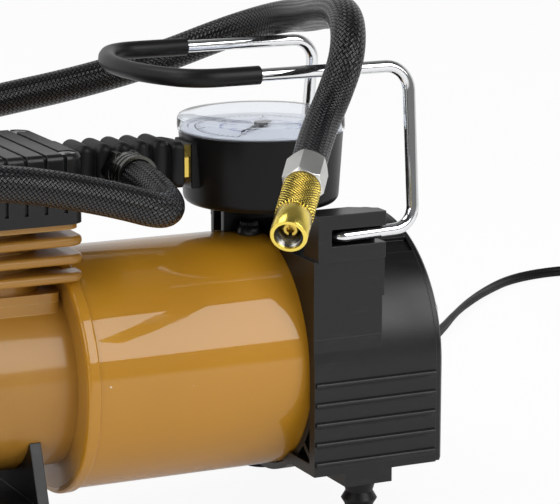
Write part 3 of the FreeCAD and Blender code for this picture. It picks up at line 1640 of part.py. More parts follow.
def hose_fitting():
    """The nickel hexagon on the sleeve's front, with its crimped collar over the hose."""
    base = V(fitting_x, -sleeve_half_depth, fitting_z)
    nut = hexagon(fitting_hex_flats, fitting_hex_length, base, V(0, -1, 0))
    front = -sleeve_half_depth - fitting_hex_length
    collar_radius = hose_radius + hose_gap + fitting_collar_wall
    collar = rod_y(collar_radius, front - fitting_collar_length, front + 0.5, fitting_x, fitting_z)
    hollow = rod_y(
        hose_radius + hose_gap, front - fitting_collar_length - 1, front - 1.0, fitting_x, fitting_z
    )
    crimps = []
    for k in range(2):
        y = front - 2.6 - 2.8 * k
        ring = rod_y(collar_radius + 1, y - 1.0, y, fitting_x, fitting_z)
        crimps.append(ring.cut(rod_y(collar_radius - 0.5, y - 1.0, y, fitting_x, fitting_z)))
    bore = rod_y(fitting_bore, front - 2, -sleeve_half_depth + 1, fitting_x, fitting_z)
    return fused([nut, collar]).cut([hollow, bore] + crimps)


def along_chuck(shape):
    return placed(shape, chuck_root, chuck_direction)


def chuck_nut():
    """The nickel nut at the hose's end, with the stem and flange that the sleeve turns on."""
    nut = hexagon(nut_flats, nut_length, V(0, 0, 0), V(0, 0, 1))
    flange_low = nut_length + chuck_gap + chuck_neck_length + chuck_gap
    stem = Part.makeCylinder(stem_radius, flange_low - nut_length + 1, V(0, 0, nut_length - 0.5))
    flange = Part.makeCylinder(stem_flange_radius, stem_flange_thickness, V(0, 0, flange_low))
    bore = Part.makeCylinder(nut_bore, flange_low + 5, V(0, 0, -1))
    return along_chuck(fused([nut, stem, flange]).cut(bore))


def chuck_mouth():
    """Distance of the chuck's open end from the root of its nut."""
    return nut_length + chuck_gap + chuck_knurled_length + chuck_plain_length


def knurled_bar(radius, z0, z1):
    """A bar with V grooves along it."""
    points = []
    for k in range(2 * knurl_count):
        r = radius - (knurl_depth if k % 2 else 0.0)
        angle = math.pi * k / knurl_count
        points.append((r * math.cos(angle), r * math.sin(angle), z0))
    return face_of(points).extrude(V(0, 0, z1 - z0))


def chuck_sleeve():
    """The brass sleeve that screws on the valve. Its thread stands as a plain bore of the thread's size."""
    z0 = nut_length + chuck_gap
    knurled = knurled_bar(chuck_knurled_radius, z0, z0 + chuck_knurled_length)
    mouth = chuck_mouth()
    plain = Part.makeCylinder(
        chuck_plain_radius, chuck_plain_length + 1, V(0, 0, mouth - chuck_plain_length - 1)
    )
    rim = [e for e in plain.Edges if abs(e.CenterOfMass.z - mouth) < 1e-6]
    plain = plain.makeChamfer(0.6, rim)
    neck = Part.makeCylinder(stem_radius + running_gap, chuck_neck_length + 2, V(0, 0, z0 - 1))
    thread_low = mouth - chuck_mouth_chamfer - chuck_thread_length
    cavity_low = z0 + chuck_neck_length
    cavity = Part.makeCylinder(chuck_cavity_radius, thread_low - cavity_low, V(0, 0, cavity_low))
    thread = Part.makeCylinder(chuck_thread_radius, chuck_thread_length + 1, V(0, 0, thread_low - 0.5))
    lead = Part.makeCone(chuck_thread_radius, chuck_thread_radius + 1.1 * chuck_mouth_chamfer,
                         1.1 * chuck_mouth_chamfer, V(0, 0, mouth - chuck_mouth_chamfer))
    return along_chuck(fused([knurled, plain]).cut([neck, cavity, thread, lead]))


def chuck_seal():
    """The rubber washer that closes on the valve's rim."""
    top = chuck_mouth() - chuck_mouth_chamfer - chuck_thread_length
    ring = Part.makeCylinder(chuck_cavity_radius, chuck_seal_thickness, V(0, 0, top - chuck_seal_thickness))
    return along_chuck(ring.cut(Part.makeCylinder(chuck_pin_radius + 0.2, 20, V(0, 0, top - 10))))


def chuck_pin():
    """The slotted pin that opens the valve's core, on its disc behind the washer."""
    top = chuck_mouth() - chuck_mouth_chamfer - chuck_thread_length
    disc_top = top - chuck_seal_thickness
    disc = Part.makeCylinder(chuck_cavity_radius, 1.5, V(0, 0, disc_top - 1.5))
    pin = Part.makeCylinder(chuck_pin_radius, chuck_pin_length, V(0, 0, top - chuck_pin_length))
    slot = box(-chuck_pin_radius - 1, chuck_pin_radius + 1, -0.4, 0.4, top - 1.4, top + 1)
    holes = [
        Part.makeCylinder(
            0.6, 4, V(3.2 * math.cos(a), 3.2 * math.sin(a), disc_top - 3)
        ) for a in (0, 2.1, 4.2)
    ]
    return along_chuck(fused([disc, pin]).cut([slot] + holes))


def main():
    save("motor_shell", motor_shell())
    save("front_plate", front_plate())
    save("motor_can", motor_can())
    save("field_magnets", field_magnets())
    save("brush_plate", brush_plate())
    save("carbon_brushes", carbon_brushes())
    save("rear_plate", rear_plate())
    save("bearings", group([bearing(shell_left), bearing(can_right - 3.0)]))
    save("motor_shaft", motor_shaft())
    save("armature_core", armature_core())
    save("armature_windings", armature_windings())
    save("commutator", commutator())
    save("cooling_fan", cooling_fan())
    save("crank_disc", crank_disc())

    save("crankcase", crankcase())
    save("crankcase_cover", crankcase_cover())
    save("connecting_rod", connecting_rod())
    save("piston", piston())
    save("pump_cylinder", pump_cylinder())
    save("valve_plate", valve_plate())
    save("cylinder_head", cylinder_head())
    save("head_cover", head_cover())
    save("head_bolts", head_bolts())

    save("delivery_pipe", delivery_pipe())
    save("pipe_sleeve", pipe_sleeve())
    save("gauge_union", gauge_union())
    save("gauge_case", gauge_case())
    save("gauge_lens", gauge_lens())
    save("gauge_dial", gauge_dial())
    save("gauge_needle", gauge_needle())
    save("sector_gear", sector_gear())
    save("movement_frame", movement_frame())
    save("bourdon_tube", bourdon_tube())
    save("gauge_socket", gauge_socket())
    save("gauge_cradle", gauge_cradle())
    save("gauge_nut", gauge_nut())

    save("end_housing", end_housing())
    save("end_cover", end_cover())
    save("cover_screws", group(cover_screws() + crankcase_screws()))
    save("switch_body", switch_body())
    save("switch_rocker", switch_rocker())
    save("handle_wire", handle_wire(wire_radius))
    sleeve = handle_wire(sleeve_radius, grip_only=True)
    save("handle_grip", sleeve.cut(handle_wire(wire_radius)))
    save("foot_front_right", foot(right_foot_x, -right_foot_y))
    save("foot_back_right", foot(right_foot_x, right_foot_y))
    save("foot_front_left", foot(left_foot_x, -left_foot_y))
    save("foot_back_left", foot(left_foot_x, left_foot_y))
    save("pump_bracket", pump_bracket())

    save("hose", tube(hose_edges(), hose_radius))
    save("hose_fitting", hose_fitting())
    save("chuck_nut", chuck_nut())
    save("chuck_sleeve", chuck_sleeve())
    save("chuck_seal", chuck_seal())
    save("chuck_pin", chuck_pin())

    save("cord_gland", cord_gland())
    save("power_cord", tube(cord_edges(), cord_radius))
    save("power_cord_coil", tube(lead_edges(), cord_radius))
    save("coil_tie", coil_tie())
    save("plug_body", group([plug_body(), plug_contacts()]))
    save("plug_tip", plug_tip())

    lines = {
        "hose": (hose_edges(), hose_radius), "cord": (cord_edges(), cord_radius),
        "coil": (lead_edges(), cord_radius),
    }
    for name, (edges, radius) in lines.items():
        length = sum(edge.Length for edge in edges)
        print(f"{name}: {length:.0f} mm long, {least_gap(edges, radius):.2f} mm clear of itself")


main()
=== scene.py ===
"""Portable tire inflator: finishes, hose, supply cord, dial print and finer forms on the fixed model.

Units are metres. +X runs from the pump to the end housing, -Y is the front and +Z is up.
"""
import json
import math

import bmesh
import bpy
from mathutils import Matrix, Quaternion, Vector


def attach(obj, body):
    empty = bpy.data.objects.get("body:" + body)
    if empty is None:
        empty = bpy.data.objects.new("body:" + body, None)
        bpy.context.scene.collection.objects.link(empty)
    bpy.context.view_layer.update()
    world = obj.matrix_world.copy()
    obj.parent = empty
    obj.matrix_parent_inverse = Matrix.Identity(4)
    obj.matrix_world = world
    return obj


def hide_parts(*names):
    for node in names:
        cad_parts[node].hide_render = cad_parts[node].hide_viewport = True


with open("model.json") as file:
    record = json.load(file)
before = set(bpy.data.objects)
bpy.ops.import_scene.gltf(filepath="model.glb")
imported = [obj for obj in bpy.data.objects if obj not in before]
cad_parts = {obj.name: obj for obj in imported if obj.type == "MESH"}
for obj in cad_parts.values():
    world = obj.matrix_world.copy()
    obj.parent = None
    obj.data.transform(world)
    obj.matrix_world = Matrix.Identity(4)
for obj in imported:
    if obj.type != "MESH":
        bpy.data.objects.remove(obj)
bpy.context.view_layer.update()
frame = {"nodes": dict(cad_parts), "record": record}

NODES = frame["nodes"]
ALONG = Vector((1, 0, 0))
UP = Vector((0, 0, 1))
# How far a cutter passes the face that it opens
PAST = 0.001

# Camera, at the photograph's place and angle
EYE = Vector((-0.37302, -0.88785, 0.30212))
AZIMUTH = -25.54
ELEVATION = 12.14
ROLL = 0.09
LENS_MM = 180.0
SENSOR_MM = 36.0

# Hose, from its fitting to the nut of the chuck
HOSE_DIAMETER = 0.012
HOSE_ROUTE = (
    (-0.0134, -0.0160, 0.1270),
    (-0.0134, -0.0320, 0.1270),
    (-0.0134, -0.0570, 0.1195),
    (-0.0400, -0.0575, 0.1285),
    (-0.0760, -0.0580, 0.1365),
    (-0.1080, -0.0510, 0.1350),
    (-0.1250, -0.0270, 0.1330),
    (-0.1290, 0.0030, 0.1320),
    (-0.1220, 0.0320, 0.1320),
    (-0.0990, 0.0540, 0.1330),
    (-0.0660, 0.0600, 0.1375),
    (-0.0340, 0.0615, 0.1422),
    (-0.0020, 0.0620, 0.1466),
    (0.0290, 0.0585, 0.1540),
    (0.0550, 0.0535, 0.1634),
    (0.0700, 0.0390, 0.1702),
    (0.0690, 0.0130, 0.1735),
    (0.0625, -0.0140, 0.1785),
    (0.0563, -0.0420, 0.1815),
    (0.0495, -0.0570, 0.1700),
    (0.0445, -0.0555, 0.1550),
    (0.0350, -0.0628, 0.1452),
    (0.02397, -0.0782, 0.1370),
)
HOSE_STRANDS = 22
HOSE_STEP = 0.0015

# Supply cord, from its strain relief along the floor to its coil
CORD_ROUTE = (
    (0.0946, 0.0200, 0.0300),
    (0.1240, 0.0200, 0.0300),
    (0.1342, 0.0438, 0.0079),
    (0.1430, 0.0780, 0.0024),
    (0.1630, 0.1180, 0.0024),
    (0.1900, 0.1540, 0.0024),
    (0.2210, 0.1870, 0.0024),
    (0.2470, 0.2180, 0.0024),
    (0.2760, 0.2460, 0.0024),
    (0.3060, 0.2680, 0.0024),
    (0.3410, 0.2720, 0.0024),
    (0.3670, 0.2540, 0.0024),
    (0.3766, 0.2220, 0.0024),
)
COIL_CENTRE = (0.338, 0.176)
COIL_BASE = 0.0034
COIL_INNER = 0.0252
COIL_STEP = 0.00535
COIL_LAYERS = 4
COIL_TURNS = 2
COIL_STEPS = 10
LEAD_ROUTE = (
    (0.3739, 0.1460, 0.01945),
    (0.3739, 0.1120, 0.0120),
    (0.3739, 0.0940, 0.0120),
)
CORD_TWIST = 3.0
CORD_STEP = 0.003
CORE_RADIUS = 0.00155
CORE_OFFSET = 0.00085

# Gauge
DIAL_CENTRE = Vector((0.0436, 0.0, 0.1366))
DIAL_RISE = Vector((0.0, 0.0, 0.0026))
GAUGE_BOTTOM = 0.1102
GAUGE_RIM = 0.1362
GAUGE_TOP = 0.1422
FOOT_RADIUS = 0.0278
FOOT_TURN = 0.0030
RIM_RADIUS = 0.0293
RIM_EDGE = 0.0003
CASE_WALL = 0.0016
LENS_RADIUS = 0.0298
PIPE_HOLE_RADIUS = 0.0042
BOSS_EDGE = 0.0005
BOSS_LOW = Vector((0.0134, -0.0075, 0.1179))
BOSS_HIGH = Vector((0.0250, 0.0075, 0.1340))
CRADLE_LOW = Vector((0.0295, 0.0010, 0.0975))
CRADLE_HIGH = Vector((0.0620, 0.0120, 0.1102))
CRADLE_WALL = 0.0022
SHELL_HEIGHT = 0.0570
SHELL_SEAT_RADIUS = 0.0426
SHELL_SEAT_END = 0.0419
ARCH_HEIGHT = 0.0555
ARCH_SEAT_RADIUS = 0.0476
ARCH_SEAT_START = 0.0418
ARCH_SEAT_END = 0.0700
NUT_PLACE = Vector((0.0372, -0.0037, 0.0993))
NUT_TEETH = 16
TOOTH_DEPTH = 0.00035
SCALE_START = 225.0
SCALE_SWEEP = 270.0
ARC_WIDTH = 0.00035
LONG_TICK_WIDTH = 0.00050
TICK_WIDTH = 0.00028
INK_HEIGHT = 0.00004

# Housing
CORNER_LOW = Vector((0.0410, 0.0330, 0.0860))
CORNER_HIGH = Vector((0.0452, 0.0490, 0.1160))
FACE_LOW = Vector((0.0400, -0.0490, 0.0690))
FACE_HIGH = Vector((0.0734, -0.04665, 0.0962))
SCREW_SINK = 0.0012
RIB_LEFT = 0.0424
RIB_RIGHT = 0.0894
RIB_FACE = 0.0479
RIB_TOP = 0.0529
RIB_PITCH = 0.0071
RIB_LIP = 0.0009
RIB_COUNT = 5

# Handle
HANDLE_PIN = Vector((0.0516, -0.0370, 0.1042))
HANDLE_LEG = -0.0444
HANDLE_FOOT = Vector((0.0815, -0.0444, 0.1054))
HANDLE_TOP = Vector((0.0827, -0.0370, 0.1613))
HANDLE_END = -0.0102
HANDLE_BENDS = (0.0034, 0.0080, 0.0085)
HANDLE_CORNER = 0.0150
HANDLE_TURN = 60.0
NEAR_GRIP = 0.0255
FAR_GRIP = 0.0308
WIRE_RADIUS = 0.0022
GRIP_RADIUS = 0.0032

# Sleeve of the delivery pipe
SLEEVE_LEFT = -0.0341
SLEEVE_RIGHT = 0.0104
SLEEVE_PLAIN = 0.0053
SLEEVE_LOW = 0.1186
SLEEVE_HIGH = 0.1362
SLEEVE_HALF = 0.0090
SLEEVE_PITCH = 0.0070
SLEEVE_GROOVE = 0.0021
SLEEVE_CORNER = 0.0024
SLEEVE_SLOPE = 0.0015
SLEEVE_NOTCH = ((0.0034, 0.0100), (0.0114, 0.0100), (0.0114, 0.0000), (0.0104, 0.0000))
PIPE_HEIGHT = 0.1254
PIPE_RADIUS = 0.0030
PIPE_START = -0.0400
PIPE_JOINT = 0.0120
PIPE_END = 0.0240
BRANCH_RADIUS = 0.0026
BRANCH_LENGTH = 0.0120

# Stage
FLOOR_HALF = 9.0
FLOOR_GAP = 0.00005
FLOOR_SEEN = 0.93
FLOOR_MIRRORED = 0.22
STUDIO_GREY = 0.8
STUDIO_DEPTH = (-0.45, 0.35)
STUDIO_HEIGHT = (0.30, 0.75)
# Softboxes: name, place, what it faces, width, height and brightness
SOFTBOXES = (
    ("front_softbox", (0.574, -1.065, 0.85), (0.0, 0.0, 0.07), 0.85, 0.95, 3.8),
    ("side_softbox", (-1.15, -0.35, 0.75), (0.0, 0.0, 0.08), 0.7, 0.7, 2.4),
    ("top_softbox", (-0.6, 0.35, 1.3), (0.0, 0.0, 0.06), 1.0, 0.7, 2.6),
)

# Chuck, measured along its axis from the place of the model's nut
CHUCK_ROOT = Vector((0.0284, -0.0720, 0.1403))
CHUCK_WAY = Vector((-0.534, -0.747, -0.397)).normalized()
NUT_START = 0.0083
NUT_END = 0.0206
NUT_FLATS = 0.0127
NUT_SLOPE = 1.1
STEM_RADIUS = 0.0026
FLANGE_START = 0.0260
FLANGE_END = 0.0276
FLANGE_RADIUS = 0.0035
SLEEVE_START = 0.0210
SLEEVE_SHOULDER = 0.0012
NECK_END = 0.0256
KNURL_START = 0.0216
KNURL_STOP = 0.0371
PLAIN_START = 0.0375
MOUTH = 0.0488
MOUTH_EDGE = 0.0004
MOUTH_FLARE = 0.0009
FLARE_DEPTH = 0.0011
KNURL_RADIUS = 0.0063
PLAIN_RADIUS = 0.00605
NECK_RADIUS = 0.00265
CAVITY_RADIUS = 0.0041
THREAD_RADIUS = 0.00385
THREAD_DEPTH = 0.00032
THREAD_START = 0.0414
THREAD_END = 0.0474
THREAD_PITCH = 0.0009
THREAD_STEP = 0.00011
PIN_START = 0.0369
PIN_TOP = 0.0450
PIN_RADIUS = 0.0026
PIN_SLOT = Vector((0.0040, 0.00055, 0.0022))
PIN_TURN = 0.9
KNURL_COUNT = 30
KNURL_DEPTH = 0.00040
KNURL_STEP = 0.00016

# Width of the bright edges of metal pieces, which are a painted highlight, and of their rounded normals
METAL_EDGE = 0.0002


# Materials by name, added as they are made
FINISHES = {}


class Tree:
    """A node tree that is built by short calls."""

    def __init__(self, owner):
        owner.use_nodes = True
        self.tree = owner.node_tree
        self.tree.nodes.clear()

    def add(self, kind, **options):
        node = self.tree.nodes.new(kind)
        for option, value in options.items():
            setattr(node, option, value)
        return node

    def put(self, node, socket, value):
        """Set an input to a value, or link it to an output."""
        if isinstance(value, bpy.types.NodeSocket):
            self.tree.links.new(value, node.inputs[socket])
        else:
            node.inputs[socket].default_value = value

    def filled(self, node, values):
        """The node's first output, once its first inputs are set."""
        for socket, value in enumerate(values):
            self.put(node, socket, value)
        return node.outputs[0]

    def maths(self, operation, first, second=0.0, third=0.0):
        return self.filled(self.add("ShaderNodeMath", operation=operation), (first, second, third))

    def levels(self, value, low, high, low_result=0.0, high_result=1.0, way="LINEAR"):
        """The value moved from one range to another, and kept in it."""
        node = self.add("ShaderNodeMapRange", interpolation_type=way)
        return self.filled(node, (value, low, high, low_result, high_result))

    def either(self, share, first, second):
        """A mix of two shaders."""
        return self.filled(self.add("ShaderNodeMixShader"), (share, first, second))


class Graph(Tree):
    """The nodes of one material, ending in one Principled shader."""

    def __init__(self, name):
        FINISHES[name] = bpy.data.materials.new(name)
        super().__init__(FINISHES[name])
        self.shader = self.add("ShaderNodeBsdfPrincipled")
        self.output = self.add("ShaderNodeOutputMaterial")
        self.put(self.output, "Surface", self.shader.outputs[0])
        self.place = self.add("ShaderNodeTexCoord").outputs["Object"]

    def shade(self, **values):
        """Set the shader's inputs, named with underscores for spaces."""
        for name, value in values.items():
            self.put(self.shader, name.replace("_", " "), value)

    def noise(self, size, detail=3.0, stretch=None):
        """Cloudy values from 0 to 1, with features about as large as size, in metres."""
        place = self.place
        if stretch:
            place = self.filled(self.add("ShaderNodeMapping"), (place,))
            self.put(place.node, "Scale", stretch)
        node = self.add("ShaderNodeTexNoise")
        self.put(node, "Vector", place)
        self.put(node, "Scale", 1.0 / size)
        self.put(node, "Detail", detail)
        return node.outputs[0]

    def specks(self, spacing, share):
        """1 inside small round specks about the spacing apart, and 0 elsewhere."""
        node = self.add("ShaderNodeTexVoronoi")
        self.put(node, "Vector", self.place)
        self.put(node, "Scale", 1.0 / spacing)
        return self.levels(node.outputs["Distance"], share, share * 0.6)

    def blend(self, share, first, second):
        """A mix of two colours."""
        node = self.add("ShaderNodeMix", data_type="RGBA")
        self.put(node, 0, share)
        for socket, colour in ((6, first), (7, second)):
            self.put(node, socket, colour if isinstance(colour, bpy.types.NodeSocket) else (*colour, 1.0))
        return node.outputs[2]

    def bump(self, height, depth, normal=None):
        """A normal that follows the height, whose full range is the depth, in metres."""
        node = self.add("ShaderNodeBump")
        self.put(node, "Height", height)
        self.put(node, "Distance", depth)
        if normal is not None:
            self.put(node, "Normal", normal)
        return node.outputs[0]

    def rounded(self, radius):
        """A normal that rounds sharp edges."""
        node = self.add("ShaderNodeBevel", samples=4)
        self.put(node, "Radius", radius)
        return node.outputs[0]

    def edges(self, radius):
        """1 along sharp edges, about the radius wide, and 0 elsewhere."""
        product = self.add("ShaderNodeVectorMath", operation="DOT_PRODUCT")
        self.put(product, 0, self.rounded(radius))
        self.put(product, 1, self.add("ShaderNodeNewGeometry").outputs["Normal"])
        return self.levels(product.outputs["Value"], 0.985, 0.88)


def shaded(colour, share):
    """The colour made lighter or darker."""
    return tuple(min(1.0, channel * share) for channel in colour)


def moulded(name, colour, roughness, grain_size, grain_depth, wear_and_highlight=1.6, edge=0.0005, gloss=0.35):
    """Moulded plastic or rubber: faint clouding, a fine grain and paler edges, partly wear from rubbing and
    partly a painted highlight.
    """
    graph = Graph(name)
    cloud = graph.noise(0.022, 4.0)
    base = graph.blend(cloud, shaded(colour, 0.86), shaded(colour, 1.16))
    # Paler along sharp edges: partly wear from rubbing, partly a painted highlight where the edges catch the
    # light.
    rubbed_and_lit_edges = graph.maths("MULTIPLY", graph.edges(edge), graph.noise(0.004, 3.0))
    streaks = graph.levels(graph.noise(0.0035, 2.0, (0.35, 1.0, 1.6)), 0.62, 0.8, 0.0, 0.175)
    mark = graph.maths("MAXIMUM", rubbed_and_lit_edges, streaks)
    grain = graph.noise(grain_size, 2.0)
    graph.shade(
        Base_Color=graph.blend(mark, base, shaded(colour, wear_and_highlight)),
        Roughness=graph.levels(cloud, 0.25, 0.75, roughness - 0.05, roughness + 0.07),
        Normal=graph.bump(grain, grain_depth, graph.rounded(edge)),
        Specular_IOR_Level=gloss,
    )


def machined(name, colour, roughness, line_size=0.0012, line_depth=0.00001, stretch=(0.15, 1.0, 1.0)):
    """Bare or plated metal: fine tool lines, clouded polish and bright edges, which are a painted highlight.
    """
    graph = Graph(name)
    cloud = graph.noise(0.009, 4.0)
    lines = graph.noise(line_size, 2.0, stretch)
    polish = graph.maths("MULTIPLY_ADD", lines, 0.4, cloud)
    base = graph.blend(cloud, shaded(colour, 0.88), shaded(colour, 1.05))
    graph.shade(
        # Lighter colour along sharp edges: a painted edge highlight.
        Base_Color=graph.blend(graph.edges(METAL_EDGE), base, shaded(colour, 1.25)),
        Metallic=1.0,
        Roughness=graph.levels(polish, 0.4, 1.0, roughness * 0.75, roughness * 1.4),
        Normal=graph.bump(lines, line_depth, graph.rounded(METAL_EDGE)),
    )


def gold_paint():
    """Glossy golden lacquer with a slight orange peel and dust specks."""
    graph = Graph("gold_paint")
    cloud = graph.noise(0.05, 3.0)
    base = graph.blend(cloud, (0.47, 0.210, 0.008), (0.54, 0.250, 0.012))
    dust = graph.maths("MULTIPLY", graph.specks(0.009, 0.045), graph.levels(graph.noise(0.02), 0.5, 0.62))
    peel = graph.noise(0.0016, 1.0)
    graph.shade(
        Base_Color=graph.blend(dust, base, (0.80, 0.74, 0.60)),
        Roughness=graph.levels(cloud, 0.3, 0.7, 0.46, 0.54),
        Normal=graph.bump(graph.maths("MAXIMUM", peel, dust), 0.000004, graph.rounded(0.0004)),
        Specular_IOR_Level=0.2,
        Coat_Weight=1.0,
        Coat_Roughness=0.035,
    )


def gold_casting():
    """The same paint on cast surfaces: rougher, with a pebbled skin and a painted highlight along its sharp
    edges.
    """
    graph = Graph("gold_casting")
    cloud = graph.noise(0.02, 4.0)
    base = graph.blend(cloud, (0.36, 0.165, 0.020), (0.46, 0.225, 0.030))
    graph.shade(
        # Lighter gold along sharp edges: a painted edge highlight.
        Base_Color=graph.blend(graph.edges(0.0006), base, (0.60, 0.36, 0.09)),
        Specular_IOR_Level=0.3,
        Roughness=graph.levels(cloud, 0.3, 0.7, 0.38, 0.5),
        Normal=graph.bump(graph.noise(0.0011, 2.0), 0.00005, graph.rounded(0.0006)),
        Coat_Weight=0.6,
        Coat_Roughness=0.12,
    )


def clear():
    """Clear moulded plastic with faint hairlines."""
    graph = Graph("clear")
    scuffs = graph.levels(graph.noise(0.0015, 3.0, (0.1, 1.0, 1.0)), 0.62, 0.75)
    graph.shade(
        Base_Color=(0.93, 0.95, 0.98, 1.0),
        Transmission_Weight=1.0,
        IOR=1.12,
        Roughness=graph.levels(scuffs, 0.0, 1.0, 0.015, 0.06),
        Normal=graph.bump(graph.noise(0.006, 1.0), 0.00001),
    )


def braid():
    """Black braid: two sets of flat glossy strands that pass over and under each other in turn."""
    graph = Graph("braid")
    parts = graph.add("ShaderNodeSeparateXYZ")
    graph.put(parts, 0, graph.add("ShaderNodeUVMap", uv_map="along_and_round").outputs[0])
    pitch = math.pi * HOSE_DIAMETER / HOSE_STRANDS
    along = graph.maths("DIVIDE", parts.outputs[0], pitch)
    across = graph.maths("DIVIDE", parts.outputs[1], pitch)
    strands = []
    for operation in ("ADD", "SUBTRACT"):
        count = graph.maths(operation, across, along)
        within = graph.maths("FRACT", count)
        ridge = graph.maths("SINE", graph.maths("MULTIPLY", within, math.pi))
        yarns = graph.maths("SINE", graph.maths("MULTIPLY", within, 8 * math.pi))
        strands.append((graph.maths("FLOOR", count), graph.maths("MULTIPLY_ADD", yarns, 0.08, ridge)))
    (first, first_height), (second, second_height) = strands
    turn = graph.maths("FLOORED_MODULO", graph.maths("ADD", first, second), 2.0)
    over = graph.maths("LESS_THAN", turn, 0.5)
    chosen = graph.add("ShaderNodeMix", data_type="FLOAT")
    for socket, value in ((0, over), (2, second_height), (3, first_height)):
        graph.put(chosen, socket, value)
    height = chosen.outputs[0]
    raised = graph.levels(height, 0.3, 1.0)
    polish = graph.maths("MULTIPLY_ADD", graph.noise(0.012, 3.0), 0.3, height)
    graph.shade(
        # Lighter on the strands' crowns and darker in the valleys between them: painted shade.
        Base_Color=graph.blend(raised, (0.0008, 0.0008, 0.001), (0.006, 0.0062, 0.008)),
        Roughness=graph.levels(polish, 0.3, 1.3, 0.34, 0.16),
        Normal=graph.bump(height, 0.00024),
        Specular_IOR_Level=graph.levels(height, 0.3, 0.75, 0.03, 0.75),
    )


def knurled_brass():
    """Brass with grime and painted shade in its knurling, and a greyer bore.

    The groove is the depth of the knurling as a share, and -1 in the bore.
    """
    graph = Graph("knurled_brass")
    groove = graph.add("ShaderNodeAttribute", attribute_name="groove").outputs["Fac"]
    cloud = graph.noise(0.009, 4.0)
    # Dark brown in the knurling's grooves: partly grime, partly painted shade in the recesses.
    dirt_and_shade = graph.levels(groove, 0.05, 0.45)
    inside = graph.levels(groove, -0.2, -0.7)
    brass = graph.blend(cloud, (0.93, 0.71, 0.125), (1.0, 0.79, 0.17))
    outside = graph.blend(dirt_and_shade, brass, (0.06, 0.028, 0.005))
    lines = graph.noise(0.0012, 2.0, (1.0, 1.0, 0.15))
    polish = graph.maths("MULTIPLY_ADD", lines, 0.4, cloud)
    graph.shade(
        Base_Color=graph.blend(inside, outside, (0.34, 0.33, 0.31)),
        Metallic=1.0,
        Roughness=graph.levels(polish, 0.4, 1.0, 0.16, 0.3),
        Normal=graph.bump(lines, 0.000008),
    )


def dial_white():
    """Printed white card with a faint paper grain."""
    graph = Graph("dial_white")
    graph.shade(
        Base_Color=graph.blend(graph.noise(0.008, 3.0), (0.62, 0.64, 0.70), (0.70, 0.715, 0.75)),
        Roughness=0.5,
        Normal=graph.bump(graph.noise(0.0004, 2.0), 0.00001),
    )


def printed(name, colour):
    """Printing ink on the dial, a little uneven."""
    graph = Graph(name)
    graph.shade(
        Base_Color=graph.blend(graph.noise(0.001, 2.0), shaded(colour, 0.9), shaded(colour, 1.15)),
        Roughness=graph.levels(graph.noise(0.002), 0.3, 0.7, 0.45, 0.6),
    )


def copper():
    """Enamelled copper wire, shown as fine close windings that are darker between the turns, as painted
    shade.
    """
    graph = Graph("copper")
    turns = graph.add("ShaderNodeTexWave", wave_type="BANDS", bands_direction="X")
    graph.put(turns, "Vector", graph.place)
    graph.put(turns, "Scale", 650.0)
    graph.put(turns, "Distortion", 0.6)
    graph.shade(
        # Darker in the grooves between the turns: painted shade.
        Base_Color=graph.blend(turns.outputs["Fac"], (0.30, 0.09, 0.03), (0.62, 0.26, 0.10)),
        Metallic=0.8,
        Roughness=0.32,
        Normal=graph.bump(turns.outputs["Fac"], 0.00015),
        Coat_Weight=0.6,
    )


gold_paint()
gold_casting()
# The strong edge factor of the black plastic paints highlights along the edges of the housing's ribs.
moulded("black_plastic", (0.006, 0.006, 0.0064), 0.31, 0.0006, 0.00003, wear_and_highlight=8.0, edge=0.0006, gloss=0.42)
moulded("black_gloss", (0.005, 0.005, 0.005), 0.30, 0.0010, 0.000008, gloss=0.2)
clear()
dial_white()
moulded("needle_black", (0.03, 0.03, 0.035), 0.4, 0.0006, 0.00001)
machined("brass", (0.78, 0.56, 0.12), 0.2)
knurled_brass()
machined("nickel", (0.82, 0.82, 0.79), 0.32, 0.0007, 0.00002)
machined("dark_nickel", (0.10, 0.10, 0.092), 0.2, 0.0009, 0.00003)
machined("bright_wire", (0.86, 0.87, 0.88), 0.05, 0.0008, 0.000002)
machined("steel", (0.50, 0.50, 0.51), 0.34)
machined("aluminium", (0.72, 0.72, 0.73), 0.38, 0.0008, 0.00003, stretch=(1.0, 1.0, 1.0))
moulded("magnet", (0.05, 0.05, 0.055), 0.55, 0.0008, 0.00004)
copper()
moulded("brush", (0.03, 0.03, 0.03), 0.5, 0.0004, 0.00002)
moulded("rubber", (0.005, 0.005, 0.0055), 0.40, 0.0007, 0.00002, wear_and_highlight=3.0, gloss=0.3)
braid()
moulded("cord_cover", (0.006, 0.006, 0.007), 0.45, 0.0012, 0.00001, gloss=0.2)
printed("ink_black", (0.02, 0.02, 0.03))
printed("ink_blue", (0.05, 0.09, 0.32))


def finish_node(node, finish):
    """Give a model node its finish."""
    slots = NODES[node].data.materials
    slots.clear()
    slots.append(FINISHES[finish])


for row in frame["record"]["subparts"]:
    finish_node(row["node"], row["material_slot"])
finish_node("hose_fitting", "dark_nickel")


# Mesh helpers
def placed(name, data):
    """A new object in the scene."""
    piece = bpy.data.objects.new(name, data)
    bpy.context.scene.collection.objects.link(piece)
    return piece


def mesh_piece(name, vertices, faces, finish, smooth=True):
    """A new object from points and faces."""
    mesh = bpy.data.meshes.new(name)
    mesh.from_pydata([tuple(v) for v in vertices], [], faces)
    mesh.polygons.foreach_set("use_smooth", [smooth] * len(mesh.polygons))
    mesh.materials.append(FINISHES[finish])
    return placed(name, mesh)


def shape_piece(name, shape, finish):
    """A new object from a bmesh, which is used up."""
    mesh = bpy.data.meshes.new(name)
    shape.to_mesh(mesh)
    shape.free()
    mesh.materials.append(FINISHES[finish])
    return placed(name, mesh)


def copied(name, node, shift=(0.0, 0.0, 0.0)):
    """A new object with a copy of a model node's mesh, moved by the shift."""
    mesh = NODES[node].data.copy()
    mesh.transform(Matrix.Translation(shift))
    return placed(name, mesh)


